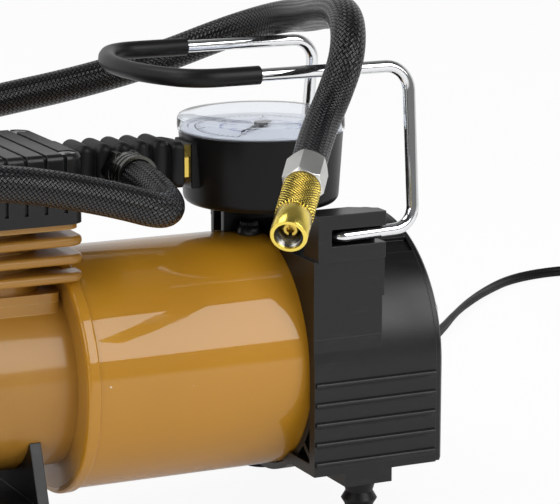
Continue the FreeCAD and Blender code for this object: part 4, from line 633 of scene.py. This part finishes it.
def tube_faces(size, count, first=0):
    """Faces of a solid through count rings of size points each, closed at its two ends."""
    faces = []
    for low in range(first, first + (count - 1) * size, size):
        for j in range(size):
            after = (j + 1) % size
            faces.append((low + j, low + after, low + size + after, low + size + j))
    last = first + (count - 1) * size
    return faces + [tuple(range(first + size - 1, first - 1, -1)), tuple(range(last, last + size))]


def revolved(name, profile, centre, way, finish, columns=96):
    """A solid turned about the way through the centre.

    The profile is a closed line of (distance along, radius) or (distance along, radius, shape). A point whose
    radius is 0 lies on the axis. The shape gives the radius at each angle.
    """
    turn = UP.rotation_difference(way)
    vertices, rings = [], []
    for s, radius, *shape in profile:
        first = len(vertices)
        count = columns if radius > 0 else 1
        for j in range(count):
            angle = 2 * math.pi * j / columns
            r = shape[0](radius, angle, s) if shape else radius
            vertices.append(centre + turn @ Vector((r * math.cos(angle), r * math.sin(angle), s)))
        rings.append((first, count))
    faces = []
    for (low, low_count), (high, high_count) in zip(rings, rings[1:] + rings[:1]):
        for j in range(columns):
            after = (j + 1) % columns
            near = (low + j % low_count, low + after % low_count)
            far = (high + after % high_count, high + j % high_count)
            corners = tuple(dict.fromkeys(near + far))
            if len(corners) > 2:
                faces.append(corners)
    return mesh_piece(name, vertices, faces, finish)


def rod(name, start, end, radius, centre, way, finish, columns):
    """A round bar between two distances along the way through the centre."""
    profile = [(start, 0.0), (start, radius), (end, radius), (end, 0.0)]
    return revolved(name, profile, centre, way, finish, columns)


def upright(name, profile, centre, finish, columns=96):
    """A solid turned about the upright line through the centre, from (radius, height) points."""
    turned = [(height, radius) for radius, height in profile]
    return revolved(name, turned, Vector((centre.x, centre.y, 0)), UP, finish, columns)


def box_piece(name, low, high, finish, bevel=0.0):
    """A block between two corners, with rounded edges where a bevel is given."""
    shape = bmesh.new()
    bmesh.ops.create_cube(shape, size=1.0)
    middle, size = (low + high) / 2, high - low
    for vertex in shape.verts:
        vertex.co = middle + Vector([c * s for c, s in zip(vertex.co, size)])
    if bevel:
        bmesh.ops.bevel(shape, geom=shape.edges[:], offset=bevel, segments=3, profile=0.5, affect="EDGES")
    return shape_piece(name, shape, finish)


def sharpened(piece, degrees=28.0):
    """Keep the smooth shading, but break it at edges that turn by more than the angle."""
    shape = bmesh.new()
    shape.from_mesh(piece.data)
    bmesh.ops.recalc_face_normals(shape, faces=shape.faces)
    for edge in shape.edges:
        edge.smooth = len(edge.link_faces) == 2 and edge.calc_face_angle(0.0) < math.radians(degrees)
    shape.to_mesh(piece.data)
    shape.free()
    return piece


def combined(piece, tools, operation="DIFFERENCE"):
    """Cut the tools from the piece, or join them to it, and use them up."""
    for tool in tools:
        step = piece.modifiers.new("step", "BOOLEAN")
        step.operation = operation
        step.solver = "EXACT"
        step.object = tool
    bpy.context.view_layer.update()
    shape = bpy.data.meshes.new_from_object(piece.evaluated_get(bpy.context.evaluated_depsgraph_get()))
    piece.modifiers.clear()
    piece.data = shape
    for tool in tools:
        bpy.data.objects.remove(tool)
    return piece


def carry(piece, body, slot, *nodes):
    """Say what the piece rides on and which nodes it stands for. The slot is not used."""
    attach(piece, body)
    if nodes:
        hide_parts(*nodes)
    return piece


def converted(curve):
    """The mesh of a curve or a text, which is used up."""
    holder = bpy.data.objects.new("holder", curve)
    mesh = bpy.data.meshes.new_from_object(holder)
    bpy.data.objects.remove(holder)
    bpy.data.curves.remove(curve)
    return mesh


def curve_points(route, resolution):
    """Points of the smooth NURBS line whose control points are the route's."""
    curve = bpy.data.curves.new("route", "CURVE")
    curve.dimensions = "3D"
    spline = curve.splines.new("NURBS")
    spline.points.add(len(route) - 1)
    for point, place in zip(spline.points, route):
        point.co = (*place, 1.0)
    spline.order_u = 3
    spline.use_endpoint_u = True
    spline.resolution_u = resolution
    mesh = converted(curve)
    points = [vertex.co.copy() for vertex in mesh.vertices]
    bpy.data.meshes.remove(mesh)
    return points


def spaced(points, gap):
    """Points about the gap apart along a line, with its two ends kept."""
    lengths = [(b - a).length for a, b in zip(points, points[1:])]
    total = sum(lengths)
    count = max(2, round(total / gap))
    result, index, passed = [points[0]], 0, 0.0
    for k in range(1, count):
        target = total * k / count
        while passed + lengths[index] < target:
            passed += lengths[index]
            index += 1
        share = (target - passed) / lengths[index]
        result.append(points[index].lerp(points[index + 1], share))
    return result + [points[-1]]


def swept(name, points, profile, finish, twist=0.0):
    """A solid that carries the closed profile along the points. Its UVs are metres along and round it.

    The twist is in turns per metre.
    """
    last = len(points) - 1
    ways = [(points[min(k + 1, last)] - points[max(k - 1, 0)]).normalized() for k in range(last + 1)]
    side = ways[0].orthogonal().normalized()
    if abs(ways[0].dot(UP)) < 0.9:
        side = ways[0].cross(UP).normalized()
    girths = [0.0]
    for a, b in zip(profile, profile[1:] + profile[:1]):
        girths.append(girths[-1] + math.dist(a, b))
    vertices, travelled = [], [0.0]
    for k, (point, way) in enumerate(zip(points, ways)):
        if k:
            side = ways[k - 1].rotation_difference(way) @ side
            travelled.append(travelled[-1] + (point - points[k - 1]).length)
        across = Quaternion(way, 2 * math.pi * twist * travelled[k]) @ side
        over = way.cross(across)
        vertices += [point + across * x + over * y for x, y in profile]
    spots = []
    for near, far in zip(travelled, travelled[1:]):
        for low, high in zip(girths, girths[1:]):
            spots += [(near, low), (near, high), (far, high), (far, low)]
    spots += [(0.0, 0.0)] * (2 * len(profile))
    piece = mesh_piece(name, vertices, tube_faces(len(profile), len(points)), finish)
    layer = piece.data.uv_layers.new(name="along_and_round")
    layer.data.foreach_set("uv", [number for spot in spots for number in spot])
    return piece


def mirrored(points):
    """The points on the other side of the part, in the opposite order."""
    return [Vector((p.x, -p.y, p.z)) for p in reversed(points)]


def round_profile(radius, count):
    """The outline of a circle."""
    angles = [2 * math.pi * k / count for k in range(count)]
    return [(radius * math.cos(angle), radius * math.sin(angle)) for angle in angles]


def twin_profile(radius, offset, count):
    """The outline of two round cores side by side."""
    reach = math.acos(-offset / radius)
    points = []
    for side in (1, -1):
        for k in range(count):
            angle = -reach + 2 * reach * k / (count - 1)
            points.append((side * (offset + radius * math.cos(angle)), side * radius * math.sin(angle)))
    return points


# Hose
def make_hose(nut):
    """The braided hose, from its fitting to the chuck."""
    points = spaced(curve_points(HOSE_ROUTE, 24), HOSE_STEP)
    hose = swept("braided_hose", points, round_profile(HOSE_DIAMETER / 2, 48), "braid")
    carry(hose, "inflator", "braid", "hose")


# Supply cord
def coil_stations():
    """Radius and height of the cord at each half turn, wound in and out in layers with a step between."""
    stations = []
    for layer in range(COIL_LAYERS):
        half_turns = 2 * COIL_TURNS + (1 if layer == 0 else 0)
        radii = [COIL_INNER + COIL_STEP / 2 * k for k in range(half_turns + 1)]
        if layer % 2 == 0:
            radii.reverse()
        height = COIL_BASE + layer * COIL_STEP
        stations += [(radius, height) for radius in radii]
        if layer < COIL_LAYERS - 1:
            clear_radius = radii[-1] + (-COIL_STEP if layer % 2 == 0 else COIL_STEP)
            stations += [(clear_radius, height), (clear_radius, height + COIL_STEP)]
    return stations


def coil_route():
    """Control points of the coil's turns, clockwise from above, a little outside the curve itself."""
    stations = coil_stations()
    centre_x, centre_y = COIL_CENTRE
    outside = 1.0 / (1.0 - (math.pi / COIL_STEPS / 2) ** 2)
    points = []
    for k, ((near, low), (far, high)) in enumerate(zip(stations, stations[1:])):
        for step in range(COIL_STEPS):
            share = step / COIL_STEPS
            angle = -math.pi * (k + share)
            radius = (near + (far - near) * share) * outside
            height = low + (high - low) * share
            points.append((centre_x + radius * math.cos(angle), centre_y + radius * math.sin(angle), height))
    radius, height = stations[-1]
    points.append((centre_x + radius, centre_y, height))
    return points


def make_cord():
    """The twin supply cord with its coil, in one piece to the plug."""
    route = [*CORD_ROUTE, *coil_route(), *LEAD_ROUTE]
    points = spaced(curve_points(route, 8), CORD_STEP)
    profile = twin_profile(CORE_RADIUS, CORE_OFFSET, 11)
    cord = swept("supply_cord", points, profile, "cord_cover", CORD_TWIST)
    carry(cord, "inflator", "cord_cover", "power_cord", "power_cord_coil")


# Dial print
def flat_strip(angle, inner, outer, width, base):
    """The corners of one radial tick."""
    along = Vector((math.cos(angle), math.sin(angle), 0))
    across = Vector((-along.y, along.x, 0)) * width / 2
    low, high = base + along * inner, base + along * outer
    return [low - across, high - across, high + across, low + across]


def flat_arc(start, sweep, inner, outer, base, steps):
    """The corners of the quads that make up a flat arc."""
    quads = []
    for k in range(steps):
        a = start + sweep * k / steps
        b = start + sweep * (k + 1) / steps
        spots = ((inner, a), (outer, a), (outer, b), (inner, b))
        quads.append([base + Vector((r * math.cos(t), r * math.sin(t), 0)) for r, t in spots])
    return quads


def add_text(bundle, text, size, place):
    """Add the flat letters of the text, centred on the place, to a bmesh."""
    curve = bpy.data.curves.new("text", "FONT")
    curve.body = text
    curve.size = size
    curve.align_x = "CENTER"
    curve.align_y = "CENTER"
    curve.resolution_u = 4
    mesh = converted(curve)
    mesh.transform(Matrix.Translation(place))
    bundle.from_mesh(mesh)
    bpy.data.meshes.remove(mesh)


def print_scale(divisions, numbers, inner, outer, digit_radius, digit_size):
    """One scale of the dial: an arc, its ticks and its numbers, in one flat bmesh."""
    bundle = bmesh.new()
    base = DIAL_CENTRE + UP * INK_HEIGHT
    start, sweep = math.radians(SCALE_START), -math.radians(SCALE_SWEEP)
    quads = flat_arc(start, sweep, outer, outer + ARC_WIDTH, base, 90)
    for k in range(divisions + 1):
        long_tick = k % (divisions // numbers) == 0
        low = inner if long_tick else (inner + outer) / 2
        width = LONG_TICK_WIDTH if long_tick else TICK_WIDTH
        quads.append(flat_strip(start + sweep * k / divisions, low, outer, width, base))
    for quad in quads:
        bundle.faces.new([bundle.verts.new(corner) for corner in quad])
    for k in range(numbers + 1):
        angle = start + sweep * k / numbers
        place = base + Vector((digit_radius * math.cos(angle), digit_radius * math.sin(angle), 0))
        add_text(bundle, str(k * divisions // numbers), digit_size, place)
    return bundle


def make_dial_print():
    """Black outer scale and blue inner scale, each raised a hair off the card."""
    scales = (
        ("dial_scale_outer", "ink_black", 50, 5, 0.0205, 0.0235, 0.0178, 0.0038),
        ("dial_scale_inner", "ink_blue", 60, 6, 0.0128, 0.0144, 0.0106, 0.0026),
    )
    for name, finish, *sizes in scales:
        carry(shape_piece(name, print_scale(*sizes), finish), "inflator", "dial_white")


# Chuck
def triangle_wave(value):
    """0 at whole numbers, 1 halfway between them."""
    return 1.0 - abs(2.0 * (value % 1.0) - 1.0)


def knurled(radius, angle, s):
    """Diamond knurling: two crossed sets of V grooves."""
    across = KNURL_COUNT * angle / (2 * math.pi)
    along = s * KNURL_COUNT / (2 * math.pi * KNURL_RADIUS)
    deep = 1.0 - min(1.0, 2.2 * triangle_wave(across + along))
    shallow = 0.85 * (1.0 - min(1.0, 2.8 * triangle_wave(across - along)))
    return radius - KNURL_DEPTH * max(deep, shallow)


def threaded(radius, angle, s):
    """An inner screw thread."""
    return radius + THREAD_DEPTH * triangle_wave(s / THREAD_PITCH - angle / (2 * math.pi))


def steps_between(start, end, gap):
    """Values about the gap apart, from the start to the end."""
    count = max(1, round(abs(end - start) / gap))
    return [start + (end - start) * k / count for k in range(count + 1)]


def make_chuck_sleeve():
    """The brass sleeve with its diamond knurling and the thread inside its flared mouth."""
    outer, bore, edge = PLAIN_RADIUS, THREAD_RADIUS, MOUTH_EDGE
    rings = [(SLEEVE_START, NECK_RADIUS), (SLEEVE_START, KNURL_RADIUS - SLEEVE_SHOULDER)]
    rings += [(s, KNURL_RADIUS, knurled) for s in steps_between(KNURL_START, KNURL_STOP, KNURL_STEP)]
    rings += [(PLAIN_START, outer - edge / 2), (PLAIN_START + 0.0003, outer), (MOUTH - edge, outer)]
    rings += [(MOUTH - edge / 4, outer - edge / 2), (MOUTH, outer - edge), (MOUTH, bore + MOUTH_FLARE)]
    rings += [(MOUTH - FLARE_DEPTH, bore + edge)]
    rings += [(s, bore, threaded) for s in steps_between(THREAD_END, THREAD_START + 0.0002, THREAD_STEP)]
    rings += [(THREAD_START, CAVITY_RADIUS), (NECK_END, CAVITY_RADIUS), (NECK_END, NECK_RADIUS)]
    columns = KNURL_COUNT * 10
    sleeve = revolved("knurled_sleeve", rings, CHUCK_ROOT, CHUCK_WAY, "knurled_brass", columns)
    grooves = sleeve.data.attributes.new("groove", "FLOAT", "POINT")
    depths = []
    for s, radius, *shape in rings:
        for j in range(columns):
            angle = 2 * math.pi * j / columns
            depth = (radius - knurled(radius, angle, s)) / KNURL_DEPTH if shape == [knurled] else 0.0
            depths.append(-1.0 if radius < bore + 1.5 * edge else depth)
    grooves.data.foreach_set("value", depths)
    carry(sharpened(sleeve, 40.0), "chuck", "brass", "chuck_sleeve")


def make_chuck_pin():
    """The slotted pin that opens the valve, in the middle of the mouth."""
    edge = 0.0004
    profile = [
        (PIN_START, 0.0), (PIN_START, PIN_RADIUS), (PIN_TOP - edge, PIN_RADIUS), (PIN_TOP, PIN_RADIUS - edge),
        (PIN_TOP, 0.0013), (PIN_TOP - 0.0014, 0.0011), (PIN_TOP - 0.0014, 0.0),
    ]
    pin = revolved("valve_pin", profile, CHUCK_ROOT, CHUCK_WAY, "brass", 40)
    across = UP.rotation_difference(CHUCK_WAY) @ Vector((math.cos(PIN_TURN), math.sin(PIN_TURN), 0))
    over = CHUCK_WAY.cross(across)
    vertices = []
    for c in (-1, 1):
        for a, b in ((-1, -1), (1, -1), (1, 1), (-1, 1)):
            offset = across * a * PIN_SLOT.x + over * b * PIN_SLOT.y + CHUCK_WAY * c * PIN_SLOT.z
            vertices.append(CHUCK_ROOT + CHUCK_WAY * PIN_TOP + offset)
    slot = mesh_piece("slot", vertices, tube_faces(4, 2), "brass", smooth=False)
    carry(sharpened(combined(pin, [slot])), "chuck", "brass", "chuck_pin")


def make_chuck_nut():
    """The nickel hexagon at the hose's end, chamfered, and the stem that the sleeve turns on."""
    corner, flat = NUT_FLATS / math.sqrt(3), NUT_FLATS / 2
    rim = flat - 0.0001

    def hexagonal(radius, angle, s):
        """The hexagon, cut back by a cone towards its ends."""
        near = angle % (math.pi / 3) - math.pi / 6
        cone = rim + min(s - NUT_START, NUT_END - s) * NUT_SLOPE
        return min(flat / math.cos(near), max(cone, 0.0))

    gaps = (0.0002, 0.0004, 0.0006, 0.0008, 0.0010, 0.0013)
    rings = [(NUT_START, 0.0), (NUT_START, rim)]
    rings += [(NUT_START + gap, corner, hexagonal) for gap in gaps]
    rings += [(NUT_END - gap, corner, hexagonal) for gap in reversed(gaps)]
    rings += [(NUT_END, rim), (NUT_END, STEM_RADIUS), (FLANGE_START, STEM_RADIUS)]
    rings += [(FLANGE_START, FLANGE_RADIUS), (FLANGE_END, FLANGE_RADIUS), (FLANGE_END, 0.0)]
    nut = revolved("hose_nut", rings, CHUCK_ROOT, CHUCK_WAY, "nickel", 120)
    return carry(sharpened(nut, 14.0), "inflator", "nickel", "chuck_nut")


# Gauge and its cradle
def make_gauge_case():
    """The tapered cup with its rounded foot and the square boss for the pipe."""
    finish, wall, turn = "black_gloss", CASE_WALL, FOOT_TURN
    profile = [(0.0, GAUGE_BOTTOM)]
    for k in range(7):
        angle = math.pi / 2 * k / 6
        radius = FOOT_RADIUS - turn + turn * math.sin(angle)
        profile.append((radius, GAUGE_BOTTOM + turn - turn * math.cos(angle)))
    profile += [(RIM_RADIUS, GAUGE_RIM - RIM_EDGE), (RIM_RADIUS - RIM_EDGE, GAUGE_RIM)]
    profile += [(RIM_RADIUS - wall, GAUGE_RIM), (FOOT_RADIUS - wall, GAUGE_BOTTOM + turn)]
    profile += [(FOOT_RADIUS - turn, GAUGE_BOTTOM + wall), (0.0, GAUGE_BOTTOM + wall)]
    case = upright("gauge_cup", profile, DIAL_CENTRE, finish, 128)
    boss = box_piece("boss", BOSS_LOW, BOSS_HIGH, finish, BOSS_EDGE)
    low, high = GAUGE_BOTTOM + wall + 0.0002, GAUGE_RIM + PAST
    profile = [(0.0, low), (FOOT_RADIUS - wall, low), (RIM_RADIUS - wall, high), (0.0, high)]
    combined(boss, [upright("room", profile, DIAL_CENTRE, finish)])
    pipe = rod("pipe", PIPE_JOINT, PIPE_END, PIPE_HOLE_RADIUS, UP * PIPE_HEIGHT, ALONG, finish, 48)
    combined(combined(case, [boss], "UNION"), [pipe])
    carry(sharpened(case), "inflator", finish, "gauge_case")


def make_lens():
    """The clear cap, flat-sided with a slightly domed face, that sits on the rim."""
    top, seat = GAUGE_TOP, GAUGE_RIM + 0.0001
    profile = [
        (0.0, top), (0.0230, top - 0.0003), (0.0284, top - 0.0007), (0.0293, top - 0.0011),
        (0.0297, top - 0.0017), (LENS_RADIUS, top - 0.0026), (LENS_RADIUS, seat), (0.0290, seat),
        (0.0292, top - 0.0030), (0.0294, top - 0.0018), (0.0291, top - 0.0013), (0.0283, top - 0.0009),
        (0.0230, top - 0.0005), (0.0, top - 0.0002),
    ]
    lens = upright("lens_cap", profile, DIAL_CENTRE, "clear", 160)
    carry(sharpened(lens, 25.0), "inflator", "clear", "gauge_lens")


def make_dial():
    """A white ring on the case's rim, and the dial and needle, raised to its height."""
    low = GAUGE_RIM + 0.0002
    high = low + 0.0006
    profile = [(0.0262, low), (0.0288, low), (0.0288, high), (0.0264, high), (0.0262, low + 0.0003)]
    carry(upright("dial_ring", profile, DIAL_CENTRE, "dial_white", 128), "inflator", "dial_white")
    carry(copied("raised_dial", "gauge_dial", DIAL_RISE), "inflator", "dial_white", "gauge_dial")
    carry(copied("raised_needle", "gauge_needle", DIAL_RISE), "needle", "needle_black", "gauge_needle")


def make_cradle():
    """The narrow hollow bracket under the gauge, fitted over the shell and the housing's arch."""
    finish, wall = "black_plastic", CRADLE_WALL
    bracket = box_piece("gauge_bracket", CRADLE_LOW, CRADLE_HIGH, finish)
    low = CRADLE_LOW + Vector((-PAST, wall, -2 * PAST))
    hollow = box_piece("hollow", low, CRADLE_HIGH - Vector((wall, wall, wall)), finish)
    centre = UP * SHELL_HEIGHT
    shell = rod("shell", 0.0, SHELL_SEAT_END, SHELL_SEAT_RADIUS, centre, ALONG, finish, 256)
    centre = UP * ARCH_HEIGHT
    arch = rod("arch", ARCH_SEAT_START, ARCH_SEAT_END, ARCH_SEAT_RADIUS, centre, ALONG, finish, 256)
    combined(bracket, [hollow, shell, arch])
    carry(sharpened(bracket), "inflator", finish, "gauge_cradle")


def make_gauge_nut():
    """The round nut in front of the bracket, with small teeth round its top."""
    def toothed(radius, angle, s):
        return radius + TOOTH_DEPTH * math.cos(NUT_TEETH * angle)

    rings = [
        (0.0, 0.0), (0.0, 0.0043), (0.0010, 0.0044), (0.0022, 0.0040), (0.0030, 0.0034),
        (0.0031, 0.0030, toothed), (0.0044, 0.0028, toothed), (0.0048, 0.0022), (0.0048, 0.0),
    ]
    nut = revolved("round_nut", rings, NUT_PLACE, UP, "black_plastic")
    carry(sharpened(nut, 35.0), "inflator", "black_plastic", "gauge_nut")


# Housing, handle and sleeve
def make_housing():
    """The end housing, its back upper corner set back and its ears' roots flush with its slabs."""
    finish = "black_plastic"
    housing = copied("end_shell", "end_housing")
    corner = box_piece("corner", CORNER_LOW, CORNER_HIGH, finish)
    front = box_piece("front", FACE_LOW, FACE_HIGH, finish)
    back_low = Vector((FACE_LOW.x, -FACE_HIGH.y, FACE_LOW.z))
    back = box_piece("back", back_low, Vector((FACE_HIGH.x, -FACE_LOW.y, FACE_HIGH.z)), finish)
    combined(housing, [corner, front, back])
    carry(housing, "inflator", finish, "end_housing")


def make_rib_lips():
    """Round lips along the tops of the housing's ribs, front and back."""
    vertices, faces, count = [], [], 12
    for side in (-1, 1):
        for k in range(RIB_COUNT):
            faces += tube_faces(count, 2, len(vertices))
            for x in (RIB_LEFT, RIB_RIGHT):
                for y, z in round_profile(RIB_LIP, count):
                    vertices.append((x, side * RIB_FACE + y, RIB_TOP - k * RIB_PITCH + z))
    lips = mesh_piece("rib_lips", vertices, faces, "black_plastic")
    carry(sharpened(lips, 50.0), "inflator", "black_plastic")


def make_cover_screws():
    """The cover's screws, with their heads sunk into it."""
    screws = copied("sunk_screws", "cover_screws", ALONG * -SCREW_SINK)
    carry(screws, "inflator", "steel", "cover_screws")


def rounded_path(points, radii):
    """Straight runs whose corners are rounded by arcs of the given radii."""
    path = [points[0]]
    for before, corner, after, radius in zip(points, points[1:], points[2:], radii):
        enter, leave = (before - corner).normalized(), (after - corner).normalized()
        half = enter.angle(leave) / 2
        reach = radius / math.tan(half)
        centre = corner + (enter + leave).normalized() * (radius / math.sin(half))
        first, last = corner + enter * reach - centre, corner + leave * reach - centre
        path += [centre + first.slerp(last, k / 8).normalized() * radius for k in range(9)]
    return path + [points[-1]]


def handle_end(height):
    """The closed end of the handle: a wide arc between two tighter corners, from front to back."""
    half, corner, turn = -HANDLE_TOP.y, HANDLE_CORNER, math.radians(HANDLE_TURN)
    wide = (half - corner + corner * math.cos(turn)) / math.cos(turn)
    start = HANDLE_END + corner * math.sin(turn) + wide * (1 - math.sin(turn))
    points = []
    for k in range(9):
        angle = turn * k / 8
        across = corner * (1 - math.cos(angle)) - half
        points.append(Vector((start - corner * math.sin(angle), across, height)))
    reach = math.pi / 2 - turn
    for k in range(1, 12):
        angle = reach * (k / 6 - 1)
        points.append(Vector((HANDLE_END + wide * (1 - math.cos(angle)), wide * math.sin(angle), height)))
    return points + mirrored(points[:9])


def make_handle():
    """The bent chrome wire and the soft sleeve over its closed end."""
    across, height = HANDLE_TOP.y, HANDLE_TOP.z
    near = Vector((NEAR_GRIP, across, height))
    low = [HANDLE_PIN, Vector((HANDLE_PIN.x, HANDLE_LEG, HANDLE_PIN.z)), HANDLE_FOOT, HANDLE_TOP, near]
    front = rounded_path(low, HANDLE_BENDS)
    end = handle_end(height)
    route = front + end + mirrored(front)
    wire = swept("handle_bar", route, round_profile(WIRE_RADIUS, 24), "bright_wire")
    carry(sharpened(wire, 50.0), "inflator", "bright_wire", "handle_wire")
    covered = [near] + end + [Vector((FAR_GRIP, -across, height))]
    grip = swept("handle_sleeve", covered, round_profile(GRIP_RADIUS, 32), "rubber")
    carry(sharpened(grip, 50.0), "inflator", "rubber", "handle_grip")


def rounded_rectangle(half_width, half_height, corner):
    """The outline of a rectangle with round corners, as points about its middle."""
    points = []
    for quarter, (right, up) in enumerate(((1, 1), (-1, 1), (-1, -1), (1, -1))):
        x, y = right * (half_width - corner), up * (half_height - corner)
        for k in range(7):
            angle = math.pi / 2 * (quarter + k / 6)
            points.append((x + corner * math.cos(angle), y + corner * math.sin(angle)))
    return points


def make_pipe_sleeve():
    """The rubber sleeve over the pipe: rounded humps and a plain end whose back corner is cut off."""
    finish = "rubber"
    stations = []
    x = SLEEVE_LEFT
    while x < SLEEVE_PLAIN - 0.0001:
        share = ((SLEEVE_PLAIN - x) / SLEEVE_PITCH) % 1.0
        stations.append((x, SLEEVE_GROOVE * (1.0 - math.sin(math.pi * share) ** 0.55), 0.0))
        x += SLEEVE_PITCH / 14
    stations += [(SLEEVE_PLAIN, SLEEVE_GROOVE, 0.0), (SLEEVE_PLAIN + 0.0008, 0.0008, 0.0006)]
    stations += [(SLEEVE_PLAIN + 0.0020, 0.0, 0.0012), (SLEEVE_RIGHT - 0.0006, 0.0, SLEEVE_SLOPE)]
    stations += [(SLEEVE_RIGHT, 0.0006, SLEEVE_SLOPE)]
    middle, half_height = (SLEEVE_LOW + SLEEVE_HIGH) / 2, (SLEEVE_HIGH - SLEEVE_LOW) / 2
    vertices = []
    for x, depth, drop in stations:
        outline = rounded_rectangle(SLEEVE_HALF - depth, half_height - depth - drop / 2, SLEEVE_CORNER)
        vertices += [(x, y, middle + z - drop / 2) for y, z in outline]
    faces = tube_faces(len(outline), len(stations))
    sleeve = sharpened(mesh_piece("ribbed_sleeve", vertices, faces, finish))
    corners = [(x, y, z) for z in (SLEEVE_LOW - PAST, SLEEVE_HIGH + PAST) for x, y in SLEEVE_NOTCH]
    notch = sharpened(mesh_piece("notch", corners, tube_faces(4, 2), finish))
    pipe = rod("pipe", PIPE_START, PIPE_JOINT, PIPE_RADIUS, UP * PIPE_HEIGHT, ALONG, finish, 40)
    middle = Vector((HOSE_ROUTE[0][0], 0, HOSE_ROUTE[0][2]))
    branch = rod("branch", 0.0, BRANCH_LENGTH, BRANCH_RADIUS, middle, Vector((0, -1, 0)), finish, 40)
    combined(sleeve, [notch, pipe, branch])
    carry(sharpened(sleeve, 35.0), "inflator", finish, "pipe_sleeve")


# Stage
def make_floor():
    """A wide pale floor that the camera sees as nearly white, with the object's shadow on it."""
    corners = [(x * FLOOR_HALF, y * FLOOR_HALF, 0) for x, y in ((-1, -1), (1, -1), (1, 1), (-1, 1))]
    graph = Graph("floor")
    graph.shade(Base_Color=(0.82, 0.82, 0.82, 1.0), Roughness=0.7)
    path = graph.add("ShaderNodeLightPath").outputs
    glow = graph.add("ShaderNodeEmission")
    graph.put(glow, "Color", (1.0, 1.0, 1.0, 1.0))
    seen = graph.maths("MAXIMUM", path["Is Camera Ray"], path["Is Transmission Ray"])
    mirrored = graph.maths("MULTIPLY", path["Is Glossy Ray"], FLOOR_MIRRORED)
    share = graph.maths("MAXIMUM", graph.maths("MULTIPLY", seen, FLOOR_SEEN), mirrored)
    graph.put(graph.output, "Surface", graph.either(share, graph.shader.outputs[0], glow.outputs[0]))
    floor = mesh_piece("floor", corners, [(0, 1, 2, 3)], "floor")
    floor.location.z = -FLOOR_GAP


def make_world():
    """Surroundings that are white to the camera and through clear pieces.

    They light the object more from behind than from the camera's side. Reflections see them darker overhead.
    """
    world = bpy.data.worlds.new("studio")
    bpy.context.scene.world = world
    tree = Tree(world)
    path = tree.add("ShaderNodeLightPath").outputs
    parts = tree.add("ShaderNodeSeparateXYZ")
    tree.put(parts, 0, tree.add("ShaderNodeTexCoord").outputs["Generated"])

    def ramp(axis, place, *results):
        return tree.levels(parts.outputs[axis], *place, *results, "SMOOTHSTEP")

    def backdrop(grey, strength):
        node = tree.add("ShaderNodeBackground")
        return tree.filled(node, ((grey, grey, grey, 1.0), strength))

    lit = backdrop(STUDIO_GREY, ramp("Y", STUDIO_DEPTH, 0.50, 1.0))
    overhead = ramp("Z", STUDIO_HEIGHT, 1.0, 0.22)
    mirrored = backdrop(STUDIO_GREY, tree.maths("MULTIPLY", ramp("Y", STUDIO_DEPTH, 0.24, 1.0), overhead))
    studio = tree.either(path["Is Glossy Ray"], lit, mirrored)
    seen = tree.maths("MAXIMUM", path["Is Camera Ray"], path["Is Transmission Ray"])
    output = tree.add("ShaderNodeOutputWorld")
    tree.put(output, "Surface", tree.either(seen, studio, backdrop(1.0, 1.0)))


def softbox(name, place, target, width, height, brightness):
    """A soft rectangular lamp whose face has the given brightness."""
    lamp = bpy.data.lights.new(name, "AREA")
    lamp.shape = "RECTANGLE"
    lamp.size = width
    lamp.size_y = height
    lamp.energy = brightness * math.pi * width * height
    holder = placed(name, lamp)
    holder.location = place
    holder.rotation_mode = "QUATERNION"
    holder.rotation_quaternion = (Vector(target) - Vector(place)).to_track_quat("-Z", "Y")


def make_camera():
    """The camera at the photograph's angle, distance and focal length."""
    data = bpy.data.cameras.new("camera")
    data.lens = LENS_MM
    data.sensor_width = SENSOR_MM
    data.clip_start = 0.05
    data.clip_end = 50.0
    camera = placed("camera", data)
    azimuth, elevation = math.radians(AZIMUTH), math.radians(ELEVATION)
    flat = math.cos(elevation)
    back = Vector((math.sin(azimuth) * flat, -math.cos(azimuth) * flat, math.sin(elevation)))
    turn = (-back).to_track_quat("-Z", "Y") @ Quaternion((0, 0, 1), math.radians(ROLL))
    camera.matrix_world = Matrix.Translation(EYE) @ turn.to_matrix().to_4x4()
    bpy.context.scene.camera = camera


make_hose(make_chuck_nut())
make_cord()
make_dial_print()
make_chuck_sleeve()
make_chuck_pin()
make_gauge_case()
make_lens()
make_dial()
make_cradle()
make_gauge_nut()
make_housing()
make_rib_lips()
make_cover_screws()
make_handle()
make_pipe_sleeve()
make_floor()
make_world()
for lamp_sizes in SOFTBOXES:
    softbox(*lamp_sizes)
make_camera()

view = bpy.context.scene.view_settings
view.view_transform = "Standard"
